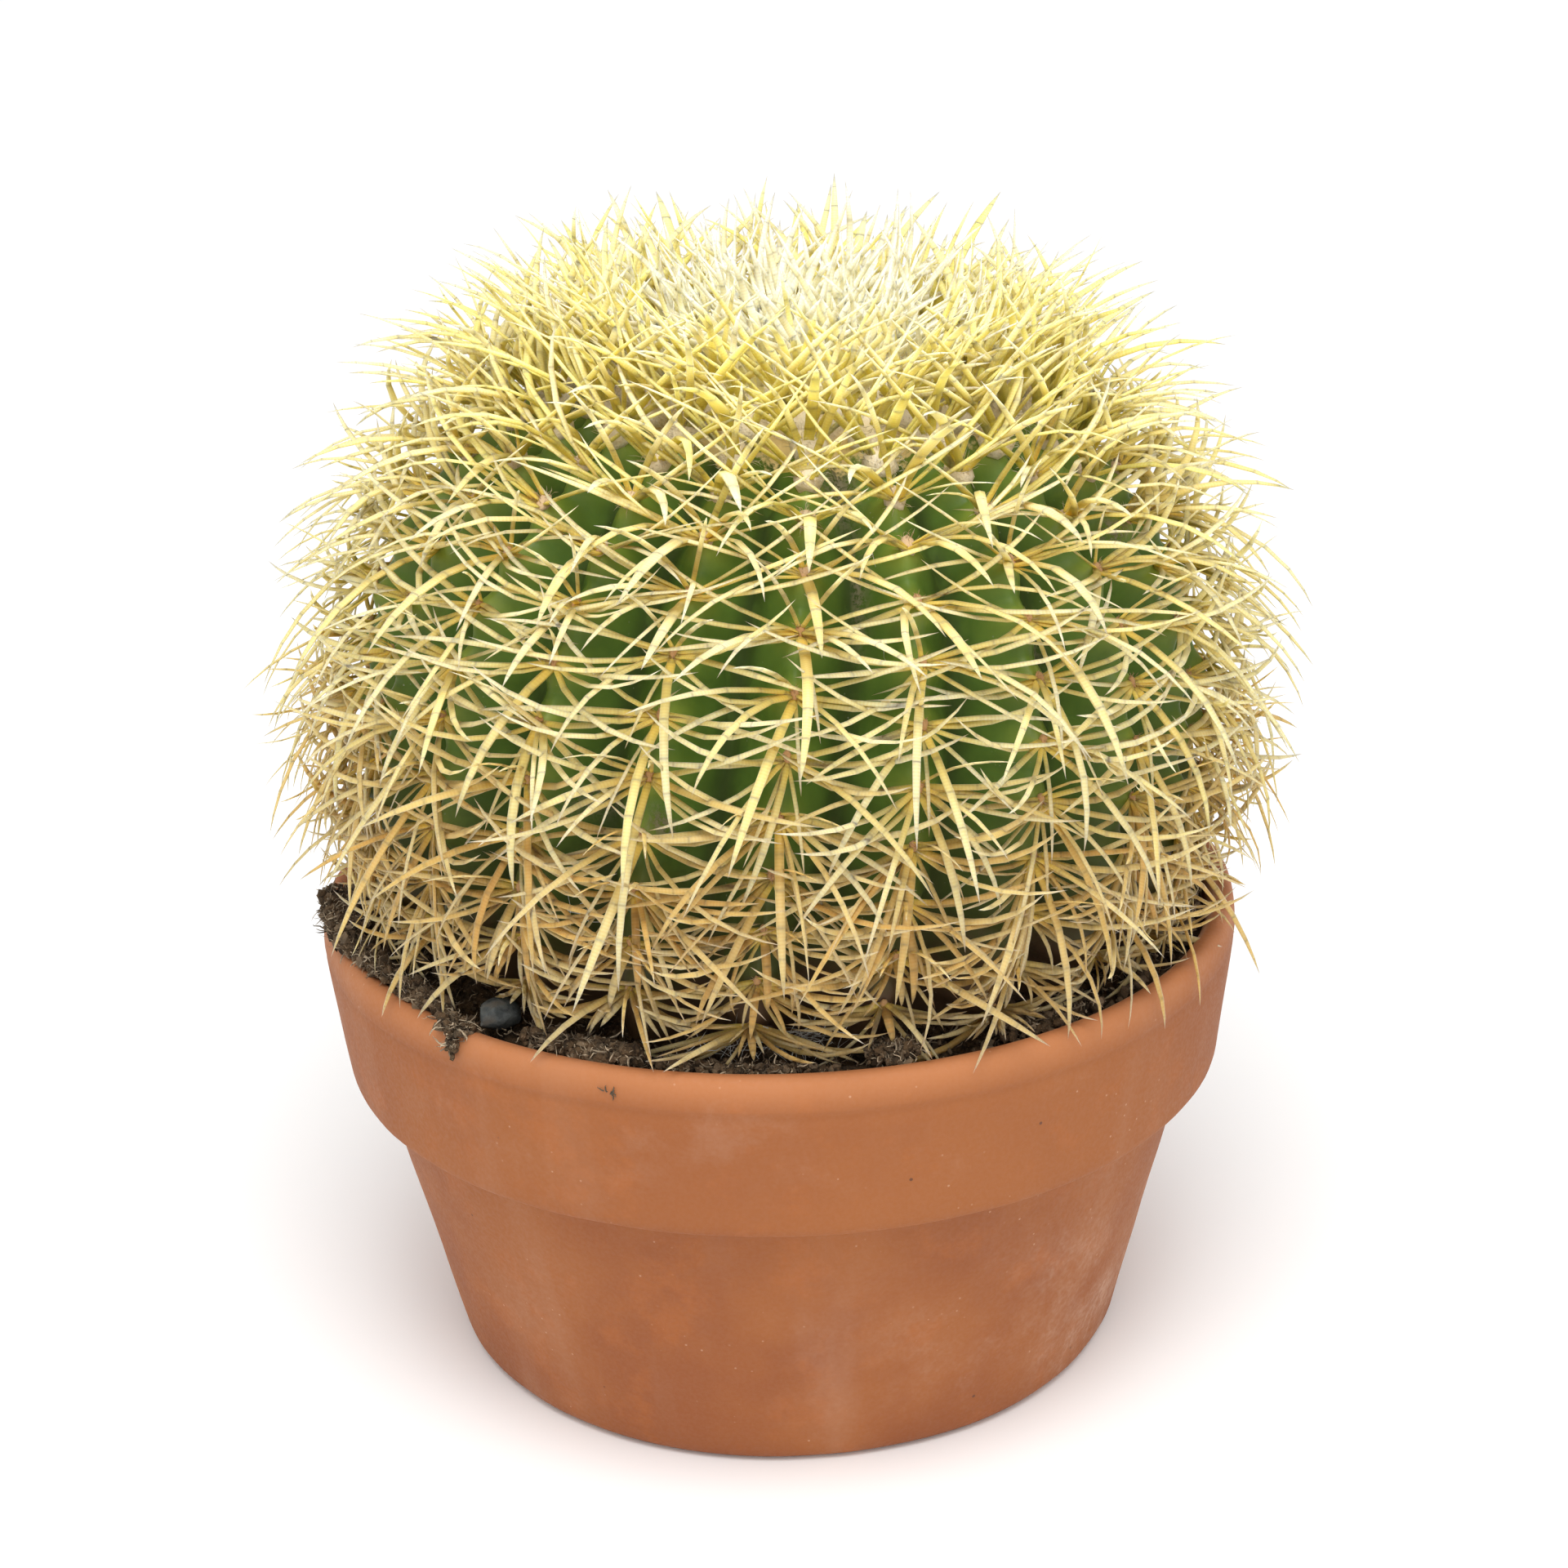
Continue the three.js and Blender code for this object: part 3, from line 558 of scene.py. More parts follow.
@dataclass(frozen=True)
class CactusSkin:
    """Waxy dark green skin, felted by the crown, with dust and scars, painted shade in the valleys and a
    painted yellow-green highlight round the areoles.
    """

    # The valley colour is painted shade at the bottom of the valleys between the ribs.
    valley: Colour = (0.040, 0.070, 0.010)
    dark: Colour = (0.076, 0.148, 0.018)
    green: Colour = (0.118, 0.215, 0.030)
    # The yellow-green of the painted highlight round the areoles.
    bright: Colour = (0.30, 0.37, 0.050)
    olive: Colour = (0.056, 0.064, 0.014)
    bark: Colour = (0.100, 0.056, 0.026)
    cork: Colour = (0.30, 0.25, 0.17)
    dust: Colour = (0.42, 0.44, 0.33)
    felt: Colour = (0.84, 0.66, 0.30)

    def material(self) -> bpy.types.Material:
        """Build the finish.

        Returns:
            The material.
        """
        sheet = NodeSheet("cactus_skin")
        crest = sheet.marked("crest")
        near = sheet.marked("areole")
        clouds = sheet.noise(38.0, 4.0)
        colour = sheet.mixed(sheet.ranged(clouds, 0.35, 0.68), self.dark, self.green)
        # Painted shade: the skin darkens towards the bottom of each valley.
        colour = sheet.mixed(sheet.ranged(crest, 0.42, 0.0), colour, self.valley)
        streaks = sheet.noise(150.0, 2.0, sheet.stretched((1.0, 1.0, 0.16)))
        colour = sheet.mixed(sheet.ranged(streaks, 0.52, 0.72, 0.0, 0.35), colour, self.green)
        # Painted highlight: the skin glows yellow-green round each areole.
        painted_glow = sheet.times(near, sheet.ranged(sheet.noise(120.0, 3.0), 0.3, 0.65, 0.55, 1.0))
        colour = sheet.mixed(painted_glow, colour, self.bright)
        cork = sheet.times(
            sheet.ranged(sheet.noise(26.0, 2.0), 0.66, 0.72),
            sheet.ranged(sheet.noise(520.0, 5.0, rough=0.7), 0.42, 0.56),
        )
        crumbly = sheet.ranged(sheet.noise(700.0, 5.0, rough=0.7), 0.40, 0.55)
        cork = sheet.maths("MAXIMUM", cork, sheet.times(sheet.marked("scar"), crumbly))
        colour = sheet.mixed(sheet.times(cork, 0.8), colour, self.cork)
        ragged = sheet.maths("ADD", sheet.axis("Z"), sheet.times(sheet.noise(70.0, 5.0), 0.05))
        # The green darkens to olive towards the bottom.
        colour = sheet.mixed(sheet.ranged(ragged, 0.275, 0.222, 0.0, 0.8), colour, self.olive)
        colour = sheet.mixed(sheet.ranged(ragged, 0.226, 0.196), colour, self.bark)
        dust = sheet.ranged(sheet.dots(330.0), 0.07, 0.13, 1.0, 0.0)
        dust = sheet.times(dust, sheet.ranged(sheet.noise(75.0, 2.0), 0.52, 0.7, 0.0, 0.55))
        colour = sheet.mixed(dust, colour, self.dust)
        ragged = sheet.ranged(sheet.noise(320.0, 4.0), 0.3, 0.7, -0.3, 0.3)
        felt = sheet.maths("ADD", sheet.marked("felt"), ragged)
        colour = sheet.mixed(sheet.ranged(felt, 0.3, 0.7, 0.0, 0.95), colour, self.felt)
        relief = sheet.bumped(sheet.noise(300.0, 4.0), 0.0006, 0.25)
        relief = sheet.bumped(cork, 0.0005, 0.6, relief)
        waxy = sheet.ranged(crest, 0.3, 0.8, 0.0, 0.4)
        roughness = sheet.maths("SUBTRACT", sheet.ranged(clouds, 0.3, 0.7, 0.72, 0.84), waxy)
        return sheet.finish(colour, roughness, relief, Specular_IOR_Level=0.28)


@dataclass(frozen=True)
class SpineHorn:
    """The horn of the spines: amber at the root, golden to cream along it, and straw brown with age."""

    root: Colour = (0.80, 0.48, 0.07)
    young: Colour = (1.0, 0.83, 0.20)
    golden: Colour = (0.76, 0.54, 0.155)
    cream: Colour = (0.78, 0.655, 0.335)
    snow: Colour = (0.99, 0.95, 0.62)
    straw: Colour = (0.52, 0.285, 0.090)
    tip: Colour = (0.80, 0.57, 0.24)
    ring_length: float = 0.0011

    def material(self) -> bpy.types.Material:
        """Build the finish.

        Returns:
            The material.
        """
        sheet = NodeSheet("spine_horn")
        along = sheet.marked("along")
        age = sheet.marked("age")
        tone = sheet.marked("tone")
        colour = sheet.mixed(sheet.ranged(age, 0.03, 0.30), self.young, self.golden)
        pale = sheet.times(
            sheet.ranged(along, 0.12, 0.6),
            sheet.ranged(tone, 0.0, 0.8, 0.5, 1.0),
            sheet.ranged(age, 0.0, 0.35, 0.6, 1.0),
        )
        colour = sheet.mixed(pale, colour, self.cream)
        newborn = sheet.times(sheet.ranged(age, 0.02, -0.20), sheet.ranged(along, 0.0, 0.3, 0.35, 1.0))
        colour = sheet.mixed(newborn, colour, self.snow)
        bleached = sheet.times(
            sheet.ranged(age, 0.30, 0.03),
            sheet.ranged(along, 0.36, 0.90),
            sheet.ranged(tone, 0.15, 0.80, 0.0, 0.42),
        )
        colour = sheet.mixed(bleached, colour, self.snow)
        old = sheet.times(sheet.ranged(age, 0.58, 0.92, 0.0, 0.97), sheet.ranged(tone, 0.0, 1.0, 1.0, 0.55))
        colour = sheet.mixed(old, colour, self.straw)
        rooted = sheet.times(sheet.ranged(along, 0.22, 0.0, 0.0, 0.9), sheet.ranged(age, 0.0, 0.25, 0.3, 1.0))
        colour = sheet.mixed(rooted, colour, self.root)
        colour = sheet.mixed(sheet.ranged(along, 0.92, 1.0, 0.0, 0.6), colour, self.tip)
        turns = sheet.times(sheet.marked("run"), 2 * math.pi / self.ring_length)
        rings = sheet.ranged(sheet.maths("SINE", turns), -1.0, 1.0)
        shade = sheet.mixed(sheet.times(rings, 0.15), colour, self.root, "MULTIPLY")
        relief = sheet.bumped(rings, 0.00006, 0.6)
        return sheet.finish(
            shade, 0.55, relief, Specular_IOR_Level=0.18,
            Subsurface_Weight=0.8, Subsurface_Scale=0.006, Subsurface_Radius=(1.0, 0.85, 0.5),
        )


@dataclass(frozen=True)
class Wool:
    """Soft felt and hair: creamy in the crown, and tan-brown where it has worn on old areoles."""

    fresh: Colour = (0.94, 0.84, 0.54)
    white: Colour = (0.96, 0.92, 0.78)
    worn: Colour = (0.50, 0.255, 0.080)

    def material(self) -> bpy.types.Material:
        """Build the finish.

        Returns:
            The material.
        """
        sheet = NodeSheet("wool")
        colour = sheet.mixed(sheet.marked("tone"), self.fresh, self.white)
        colour = sheet.mixed(sheet.marked("age"), colour, self.worn)
        fluff = sheet.noise(1500.0, 4.0)
        colour = sheet.mixed(sheet.ranged(fluff, 0.62, 0.3, 0.0, 0.12), colour, self.worn)
        relief = sheet.bumped(fluff, 0.0008, 0.8)
        return sheet.finish(colour, 0.95, relief, Sheen_Weight=0.15, Sheen_Roughness=0.5)


@dataclass(frozen=True)
class Cobweb:
    """Fine silk-white thread."""

    silk: Colour = (0.72, 0.72, 0.69)
    dusty: Colour = (0.5, 0.47, 0.4)

    def material(self) -> bpy.types.Material:
        """Build the finish.

        Returns:
            The material.
        """
        sheet = NodeSheet("cobweb")
        colour = sheet.mixed(sheet.ranged(sheet.noise(300.0), 0.3, 0.7, 0.0, 0.3), self.silk, self.dusty)
        return sheet.finish(colour, 0.6)


@dataclass(frozen=True)
class StrandShape:
    """The small mesh that a bundle repeats for each strand: a tapering rod along +Z, 1 long.

    Attributes:
        name: What the mesh is called.
        sides: How many sides the rod has.
        taper: Its radius at places along it, as (share of the length, share of the width), tip last.
    """

    name: str
    sides: int
    taper: tuple[tuple[float, float], ...]

    def mesh(self) -> bpy.types.Mesh:
        """Extrude the rod from one capped circle and draw its end to a point.

        Known fault: the cap of each step of the taper stays inside the rod, as a wall.

        Returns:
            The rod's mesh.
        """
        bm = bmesh.new()
        bmesh.ops.create_circle(bm, cap_ends=True, segments=self.sides, radius=self.taper[0][1])
        bm.faces.ensure_lookup_table()
        cap = bm.faces[0]
        for (here, thick), (there, thin) in pairwise(self.taper):
            grown = bmesh.ops.extrude_face_region(bm, geom=[cap])["geom"]
            cap = next(part for part in grown if isinstance(part, bmesh.types.BMFace))
            corners = list(cap.verts)
            bmesh.ops.translate(bm, vec=(0, 0, there - here), verts=corners)
            shrink = max(thin, 1e-3) / thick
            bmesh.ops.scale(bm, vec=(shrink, shrink, 1), verts=corners)
        bmesh.ops.pointmerge(bm, verts=list(cap.verts), merge_co=(0, 0, self.taper[-1][0]))
        return mesh_from(self.name, bm)


SPINE_SHAPE = StrandShape(
    "spine_shape", 6,
    ((0, 0.70), (0.05, 0.95), (0.20, 1.0), (0.40, 1.0), (0.60, 0.93), (0.77, 0.74), (0.90, 0.43), (1.0, 0.0)),
)
HAIR_SHAPE = StrandShape(
    "hair_shape", 3,
    ((0, 1.0), (0.2, 0.95), (0.4, 0.9), (0.6, 0.8), (0.8, 0.6), (1.0, 0.0)),
)
FUZZ_SHAPE = StrandShape("fuzz_shape", 3, ((0, 1.0), (0.5, 0.8), (1.0, 0.0)))


USUAL_STRAND = {"flat": 1.0, "age": 0.0, "curl": 0.0, "group": 0}


@dataclass
class Strands:
    """Strands that each follow an arc of a circle. Every field has one row for each strand.

    Attributes:
        root: Where the strand starts.
        heading: The unit direction in which it starts.
        bend: The direction that it bends to.
        face: The direction that its flat side faces.
        turn: How far it turns over its length, in radians.
        length: Its length.
        width: Half its width at the root.
        flat: Its thickness as a share of its width.
        tone: A random share for its colour.
        age: From 0, just grown, to 1, old.
        curl: How far it waves to the sides.
        group: The number of the rib or clump that it belongs to.
    """

    root: Points
    heading: Points
    bend: Points
    face: Points
    turn: Points
    length: Points
    width: Points
    flat: Points
    tone: Points
    age: Points
    curl: Points
    group: Points

    @classmethod
    def gathered(cls, rows: list[dict]) -> "Strands":
        """Collect strands that were described one by one, where what a row leaves out is as usual.

        Args:
            rows: What is known of each strand, by the names of the fields.

        Returns:
            The strands.
        """
        full = [{**USUAL_STRAND, **row} for row in rows]
        names = cls.__dataclass_fields__
        return cls(**{name: np.array([row[name] for row in full], float) for name in names})

    def chosen(self, which: Points) -> "Strands":
        """The strands that a mask picks."""
        return Strands(**{name: getattr(self, name)[which] for name in self.__dataclass_fields__})

    def line(self, shares: Points) -> tuple[Points, Points]:
        """Follow each strand's middle line.

        Args:
            shares: Shares of the length, the same for all strands.

        Returns:
            The places, and the unit directions along the strand there.
        """
        along = np.sum(self.bend * self.heading, axis=1, keepdims=True)
        inward = unit(self.bend - along * self.heading)[:, None, :]
        ahead = self.heading[:, None, :]
        turn = np.maximum(self.turn, 1e-3)[:, None]
        angle = turn * shares[None, :]
        reach = self.length[:, None] / turn
        places = self.root[:, None, :] + (reach * np.sin(angle))[..., None] * ahead
        places += (reach * (1 - np.cos(angle)))[..., None] * inward
        wave = np.sin(shares[None, :] * 9.0 + self.tone[:, None] * 40.0) * np.minimum(shares * 3, 1)[None, :]
        places += (self.curl[:, None] * wave)[..., None] * np.cross(ahead, inward)
        return places, np.cos(angle)[..., None] * ahead + np.sin(angle)[..., None] * inward

    def mesh(self, name: str, shape: StrandShape) -> bpy.types.Mesh:
        """Repeat the strand's shape and bend each copy along its arc.

        Known fault: each copy is placed in a left-handed frame, so its faces point inwards.

        Args:
            name: What the new mesh is called.
            shape: The rod that is repeated.

        Returns:
            One mesh of all the strands.
        """
        template = shape.mesh()
        rod = places_of(template)
        mesh = repeated(name, template, len(self.length))
        places, ahead = self.line(rod[:, 2])
        face = self.face[:, None, :]
        flat_side = unit(face - np.sum(face * ahead, axis=2, keepdims=True) * ahead)
        width = self.width[:, None, None]
        places += np.cross(ahead, flat_side) * rod[None, :, 0, None] * width
        places += flat_side * rod[None, :, 1, None] * width * self.flat[:, None, None]
        move_to(mesh, places.reshape(-1, 3))
        every = np.ones((1, len(rod)))
        mark(mesh, "along", np.ones((len(self.length), 1)) * rod[None, :, 2])
        mark(mesh, "run", self.length[:, None] * rod[None, :, 2])
        mark(mesh, "tone", self.tone[:, None] * every)
        mark(mesh, "age", self.age[:, None] * every)
        return mesh


@dataclass(frozen=True)
class PotForm:
    """The terracotta pot's sizes, and the level of the soil in it."""

    rim_radius: float = 0.160
    height: float = 0.163
    base_radius: float = 0.120
    waist_radius: float = 0.145
    band_foot_radius: float = 0.1545
    band_foot: float = 0.105
    lip_depth: float = 0.011
    hang_level: float = 0.1535
    mouth_radius: float = 0.150
    mouth: float = 0.154
    floor_thickness: float = 0.012
    floor_radius: float = 0.110
    drain_radius: float = 0.012
    base_turn: float = 0.006
    band_turn: float = 0.004
    nose_inset: float = 0.004
    soil_level: float = 0.156
    soil_roughness: float = 0.0011
    heap_height: float = 0.009
    heap_angle: float = -170.0
    heap_width: float = 24.0

    def inner_radius(self, z: float) -> float:
        """The radius of the inner wall at a height."""
        share = (z - self.floor_thickness) / (self.mouth - self.floor_thickness)
        return self.floor_radius + (self.mouth_radius - self.floor_radius) * min(share, 1.0)

    def soil_height(self, radius: Points, angle: Points) -> Points:
        """The height of the soil's surface, lumpy and heaped against the rim on one side.

        Args:
            radius: The distance of each place from the pot's axis.
            angle: Its direction from there, in radians.

        Returns:
            The height at each place.
        """
        lumps = sum(
            np.sin(around * angle + across * radius)
            for around, across in ((7, 210.0), (13, -330.0), (23, 500.0))
        )
        heap = math.radians(self.heap_angle)
        off = np.degrees(np.arctan2(np.sin(angle - heap), np.cos(angle - heap)))
        piled = self.heap_height * np.exp(-((off / self.heap_width) ** 2))
        return self.soil_level + self.soil_roughness * lumps + piled

    def ground(self, places: Points, clearance: float, touch: float) -> Points:
        """How low a spine may reach at each place.

        Args:
            places: Places in the pot's frame.
            clearance: What is kept free above the rim and in front of it.
            touch: How far a tip may enter the soil.

        Returns:
            The lowest height there: outside the pot, the lowest that a tip hangs.
        """
        radius = np.hypot(places[..., 0], places[..., 1])
        angle = np.arctan2(places[..., 1], places[..., 0])
        soil = self.soil_height(radius, angle) - touch
        on_rim = np.maximum(soil, self.height + clearance)
        level = np.where(radius < self.mouth_radius - clearance, soil, on_rim)
        return np.where(radius < self.rim_radius + clearance, level, self.hang_level)


@dataclass(frozen=True)
class Pot:
    """The pot itself, spun from its wall's outline."""

    form: PotForm = PotForm()
    steps: int = 168
    round_steps: int = 6
    unevenness: float = 0.0006
    bead_depth: float = 0.0005
    bead_drop: float = 0.0125
    wall_stretches: int = 9
    band_stretches: int = 7
    crease: float = 0.0012

    def outline(self) -> list[Vector]:
        """The wall in section, from the drain hole round the outside and back inside.

        Returns:
            The points of the outline, in order.
        """
        form = self.form
        lip = form.height - form.lip_depth
        slope = (form.waist_radius - form.base_radius) / form.band_foot
        band_slope = (form.rim_radius - form.band_foot_radius) / (lip - form.band_foot)
        bead = form.height - self.bead_drop

        def at(radius: float, z: float) -> Vector:
            """A point of the outline."""
            return Vector((radius, 0.0, z))

        points = [at(form.drain_radius, 0.0), at(form.base_radius * 0.5, 0.0)]
        points += soft_corner(
            at(form.base_radius - form.base_turn, 0.0), at(form.base_radius, 0.0),
            at(form.base_radius + slope * form.base_turn, form.base_turn), self.round_steps,
        )
        first, last = points[-1], at(form.waist_radius, form.band_foot)
        points += [first.lerp(last, step / self.wall_stretches) for step in range(1, self.wall_stretches)]
        points += soft_corner(
            last - Vector((slope, 0.0, 1.0)) * self.crease, last, last + Vector((self.crease, 0.0, 0.0)), 3)
        points += soft_corner(
            at(form.band_foot_radius - form.band_turn, form.band_foot),
            at(form.band_foot_radius, form.band_foot),
            at(form.band_foot_radius + band_slope * form.band_turn, form.band_foot + form.band_turn),
            self.round_steps,
        )
        first, last = points[-1], at(form.rim_radius - 0.0004, bead - 0.002)
        stretches = range(1, self.band_stretches + 1)
        points += [first.lerp(last, step / self.band_stretches) for step in stretches]
        points.append(at(form.rim_radius - 0.0002 - self.bead_depth, bead))
        points.append(at(form.rim_radius - 0.0001, bead + 0.0015))
        points += soft_corner(
            at(form.rim_radius, lip + 0.001), at(form.rim_radius, form.height),
            at(form.rim_radius - form.nose_inset, form.height), self.round_steps)
        points += soft_corner(
            at(form.rim_radius - form.nose_inset - 0.0006, form.height), at(form.mouth_radius, form.height),
            at(form.mouth_radius, form.mouth), self.round_steps)
        points += [at(form.floor_radius, form.floor_thickness), at(form.drain_radius, form.floor_thickness)]
        return points

    def build(self, clay: Terracotta) -> None:
        """Spin the pot, make it a little uneven as hand-finished clay is, and dress it.

        Args:
            clay: The pot's finish.
        """
        mesh = turned_on_axis("pot_clay", self.outline(), self.steps, closed=True)
        places = places_of(mesh)
        for row in places:
            across = Vector((row[0], row[1], 0.0))
            if across.length < self.form.floor_radius:
                continue
            drift = noise.noise(Vector((row[0] * 14, row[1] * 14, row[2] * 30)))
            drift += 0.5 * noise.noise(Vector((row[0] * 60, row[1] * 60, row[2] * 60 + 9)))
            row[:2] *= 1 + self.unevenness * drift / across.length
            row[2] += self.unevenness * 0.6 * drift * float(row[2] > self.form.mouth)
        move_to(mesh, places)
        piece_from(mesh, clay.material(), "pot")


@dataclass(frozen=True)
class CrumbHeap:
    """A place by the rim with loose crumbs.

    Attributes:
        azimuth: Its direction from the pot's middle, in degrees from +X.
        radius: How far it is from the pot's middle.
        level: Its height.
        along: How far it spreads along the rim.
        across: How far it spreads across the rim.
        up: How far it spreads up and down.
        count: How many crumbs it has.
        size: The size of its larger crumbs.
    """

    azimuth: float
    radius: float
    level: float
    along: float
    across: float
    up: float
    count: int
    size: float = 0.0017

    def scattered(self, rng: np.random.Generator, count: int) -> Points:
        """Draw places in the heap, more of them near its middle.

        Args:
            rng: The source of its random differences.
            count: How many places are drawn.

        Returns:
            The places, one row each.
        """
        draw = np.clip(rng.normal(0, 0.55, (3, count)), -1.05, 1.05)
        radius = self.radius + draw[0] * self.across
        angle = math.radians(self.azimuth) + draw[1] * self.along / self.radius
        level = self.level + draw[2] * self.up
        return np.column_stack((radius * np.cos(angle), radius * np.sin(angle), level))


@dataclass(frozen=True)
class Soil:
    """The bed of peat with its crumbs and fibres."""

    form: PotForm = PotForm()
    seat_gap: float = 0.0003
    edge_drop: float = 0.004
    steps: int = 240
    rings: int = 34
    inner_ring: float = 0.095
    lump: float = 0.0026
    crumbs: int = 1500
    fibres: int = 3200
    seed: int = 31
    stuck: int = 6
    stuck_angle: float = -109.2
    stuck_level: float = 0.1566
    heaps: tuple[CrumbHeap, ...] = (
        CrumbHeap(-130.8, 0.1575, 0.1652, 0.0055, 0.0034, 0.0018, 130, 0.0015),
        CrumbHeap(-130.2, 0.1612, 0.1605, 0.0020, 0.0008, 0.0036, 50, 0.0011),
        CrumbHeap(-140.0, 0.1512, 0.1648, 0.0120, 0.0034, 0.0020, 330),
        CrumbHeap(-153.0, 0.1520, 0.1655, 0.0160, 0.0034, 0.0020, 330),
        CrumbHeap(-168.0, 0.1515, 0.1668, 0.0160, 0.0036, 0.0022, 330),
        CrumbHeap(-165.0, 0.1570, 0.1672, 0.0230, 0.0024, 0.0030, 520),
        CrumbHeap(-121.0, 0.1450, 0.1622, 0.0060, 0.0040, 0.0024, 160),
        CrumbHeap(-113.0, 0.1482, 0.1634, 0.0130, 0.0034, 0.0026, 420),
        CrumbHeap(-96.0, 0.1455, 0.1600, 0.0300, 0.0036, 0.0014, 260, 0.0014),
        CrumbHeap(-76.5, 0.1455, 0.1632, 0.0075, 0.0044, 0.0032, 260, 0.0016),
        CrumbHeap(-53.0, 0.1425, 0.1595, 0.0180, 0.0040, 0.0014, 140),
        CrumbHeap(-17.0, 0.1440, 0.1612, 0.0200, 0.0040, 0.0018, 130),
    )

    def bed(self, peat: bpy.types.Material) -> None:
        """Spin the filling of the pot and raise clods on its top.

        Args:
            peat: The soil's material.
        """
        form = self.form
        wall_top = form.soil_level - self.edge_drop
        bottom = form.floor_thickness + self.seat_gap
        outline = [
            Vector((0.0, 0.0, bottom)),
            Vector((form.inner_radius(bottom) - self.seat_gap, 0.0, bottom)),
            Vector((form.inner_radius(wall_top) - self.seat_gap, 0.0, wall_top)),
        ]
        edge = form.mouth_radius * 0.985
        for ring in range(self.rings):
            radius = edge + (self.inner_ring - edge) * ring / (self.rings - 1)
            outline.append(Vector((radius, 0.0, form.soil_level)))
        outline.append(Vector((0.0, 0.0, form.soil_level)))
        mesh = turned_on_axis("soil_bed", outline, self.steps, closed=False)
        places = places_of(mesh)
        top = np.abs(places[:, 2] - form.soil_level) < 1e-6
        radius = np.hypot(places[:, 0], places[:, 1])
        angle = np.arctan2(places[:, 1], places[:, 0])
        places[top, 2] = form.soil_height(radius, angle)[top]
        for index in np.flatnonzero(top & (radius > self.inner_ring * 0.9)):
            x, y, _ = places[index]
            clods = noise.turbulence(Vector((x, y, 0.0)) * 95, 4, False, noise_basis="PERLIN_ORIGINAL")
            places[index, 2] += self.lump * (clods - 0.55) * 1.4
        move_to(mesh, places)
        piece_from(mesh, peat, "soil")

    def crumb_places(self, rng: np.random.Generator) -> tuple[Points, Points]:
        """Draw where the crumbs lie, and how big they are.

        Args:
            rng: The source of its random differences.

        Returns:
            The places, and the sizes.
        """
        form = self.form
        radius = 0.151 - 0.034 * rng.random(self.crumbs) ** 1.3
        angle = rng.uniform(-math.pi, math.pi, self.crumbs)
        level = form.soil_height(radius, angle) + rng.uniform(-0.0008, 0.0009, self.crumbs)
        places = [np.column_stack((radius * np.cos(angle), radius * np.sin(angle), level))]
        sizes = [0.0006 + 0.0021 * rng.random(self.crumbs) ** 2.4]
        for heap in self.heaps:
            places.append(heap.scattered(rng, heap.count))
            sizes.append(heap.size * rng.uniform(0.35, 1.25, heap.count))
        return np.concatenate(places), np.concatenate(sizes)

    def loose_crumbs(self, peat: bpy.types.Material, rng: np.random.Generator) -> None:
        """Scatter crumbs of peat, each one knobbly in its own way.

        Args:
            peat: The soil's material.
            rng: The source of its random differences.
        """
        places, sizes = self.crumb_places(rng)
        bm = bmesh.new()
        bmesh.ops.create_icosphere(bm, subdivisions=1, radius=1.0)
        template = mesh_from("crumb_shape", bm)
        knob = places_of(template)
        mesh = repeated("soil_crumbs", template, len(sizes))
        shape = knob[None] * rng.uniform(0.55, 1.3, (len(sizes), len(knob), 1))
        stretch = rng.uniform(0.6, 1.35, (len(sizes), 1, 3))
        turns = np.array([Euler(tuple(rng.uniform(0, 6.28, 3))).to_matrix() for _ in sizes])
        shape = np.einsum("nij,nvj->nvi", turns, shape * stretch) * sizes[:, None, None]
        move_to(mesh, (shape + places[:, None, :]).reshape(-1, 3))
        mark(mesh, "tone", np.repeat(rng.random(len(sizes)) ** 2.2, len(knob)))
        piece_from(mesh, peat, smooth=False)

    def loose_fibres(self, rng: np.random.Generator) -> None:
        """Scatter dry fibres: a third over all the soil, and the rest in the heaps.

        Args:
            rng: The source of its random differences.
        """
        form = self.form
        rows = []
        counts = np.array([heap.count for heap in self.heaps])
        for number in range(self.fibres):
            angle = rng.uniform(-math.pi, math.pi)
            radius = 0.150 - 0.028 * rng.random()
            root = np.array([radius * math.cos(angle), radius * math.sin(angle), 0.0])
            root[2] = form.soil_height(radius, angle) + rng.uniform(0.0, 0.0014)
            if number % 3 > 0:
                heap = self.heaps[int(rng.choice(len(counts), p=counts / counts.sum()))]
                root = heap.scattered(rng, 1)[0] + np.array([0.0, 0.0, 0.0006])
            heading = rng.normal(0, 1, 3) * np.array([1, 1, 0.28])
            rows.append({
                "root": root, "heading": heading / np.linalg.norm(heading), **tangled(rng, 0.2, 1.8),
                "length": rng.uniform(0.0018, 0.0070), "width": rng.uniform(0.00012, 0.00050),
                "flat": 0.4, "tone": rng.random() ** 1.2, "curl": rng.uniform(0.0, 0.0008),
            })
        rows += [self.stuck_fibre(rng) for _ in range(self.stuck)]
        mesh = Strands.gathered(rows).mesh("soil_fibres", HAIR_SHAPE)
        piece_from(mesh, Straw().material())

    def stuck_fibre(self, rng: np.random.Generator) -> dict:
        """Describe one dark fibre that sticks to the outside of the pot below the lip.

        Args:
            rng: The source of its random differences.

        Returns:
            One row for Strands.
        """
        angle = math.radians(self.stuck_angle + rng.normal(0, 0.35))
        across, right = compass(angle)
        up = np.array([0.0, 0.0, 1.0])
        root = across * (self.form.rim_radius + 0.0001) + up * (self.stuck_level + rng.normal(0, 0.0006))
        return {
            "root": root, "heading": unit((right * rng.normal(0, 1) + up * rng.normal(0, 0.5))[None])[0],
            "bend": up * rng.choice((-1.0, 1.0)), "face": across, "turn": rng.uniform(0.8, 2.0),
            "length": rng.uniform(0.0018, 0.0032), "width": 0.00032, "flat": 0.5, "tone": 0.08,
            "curl": 0.0002,
        }

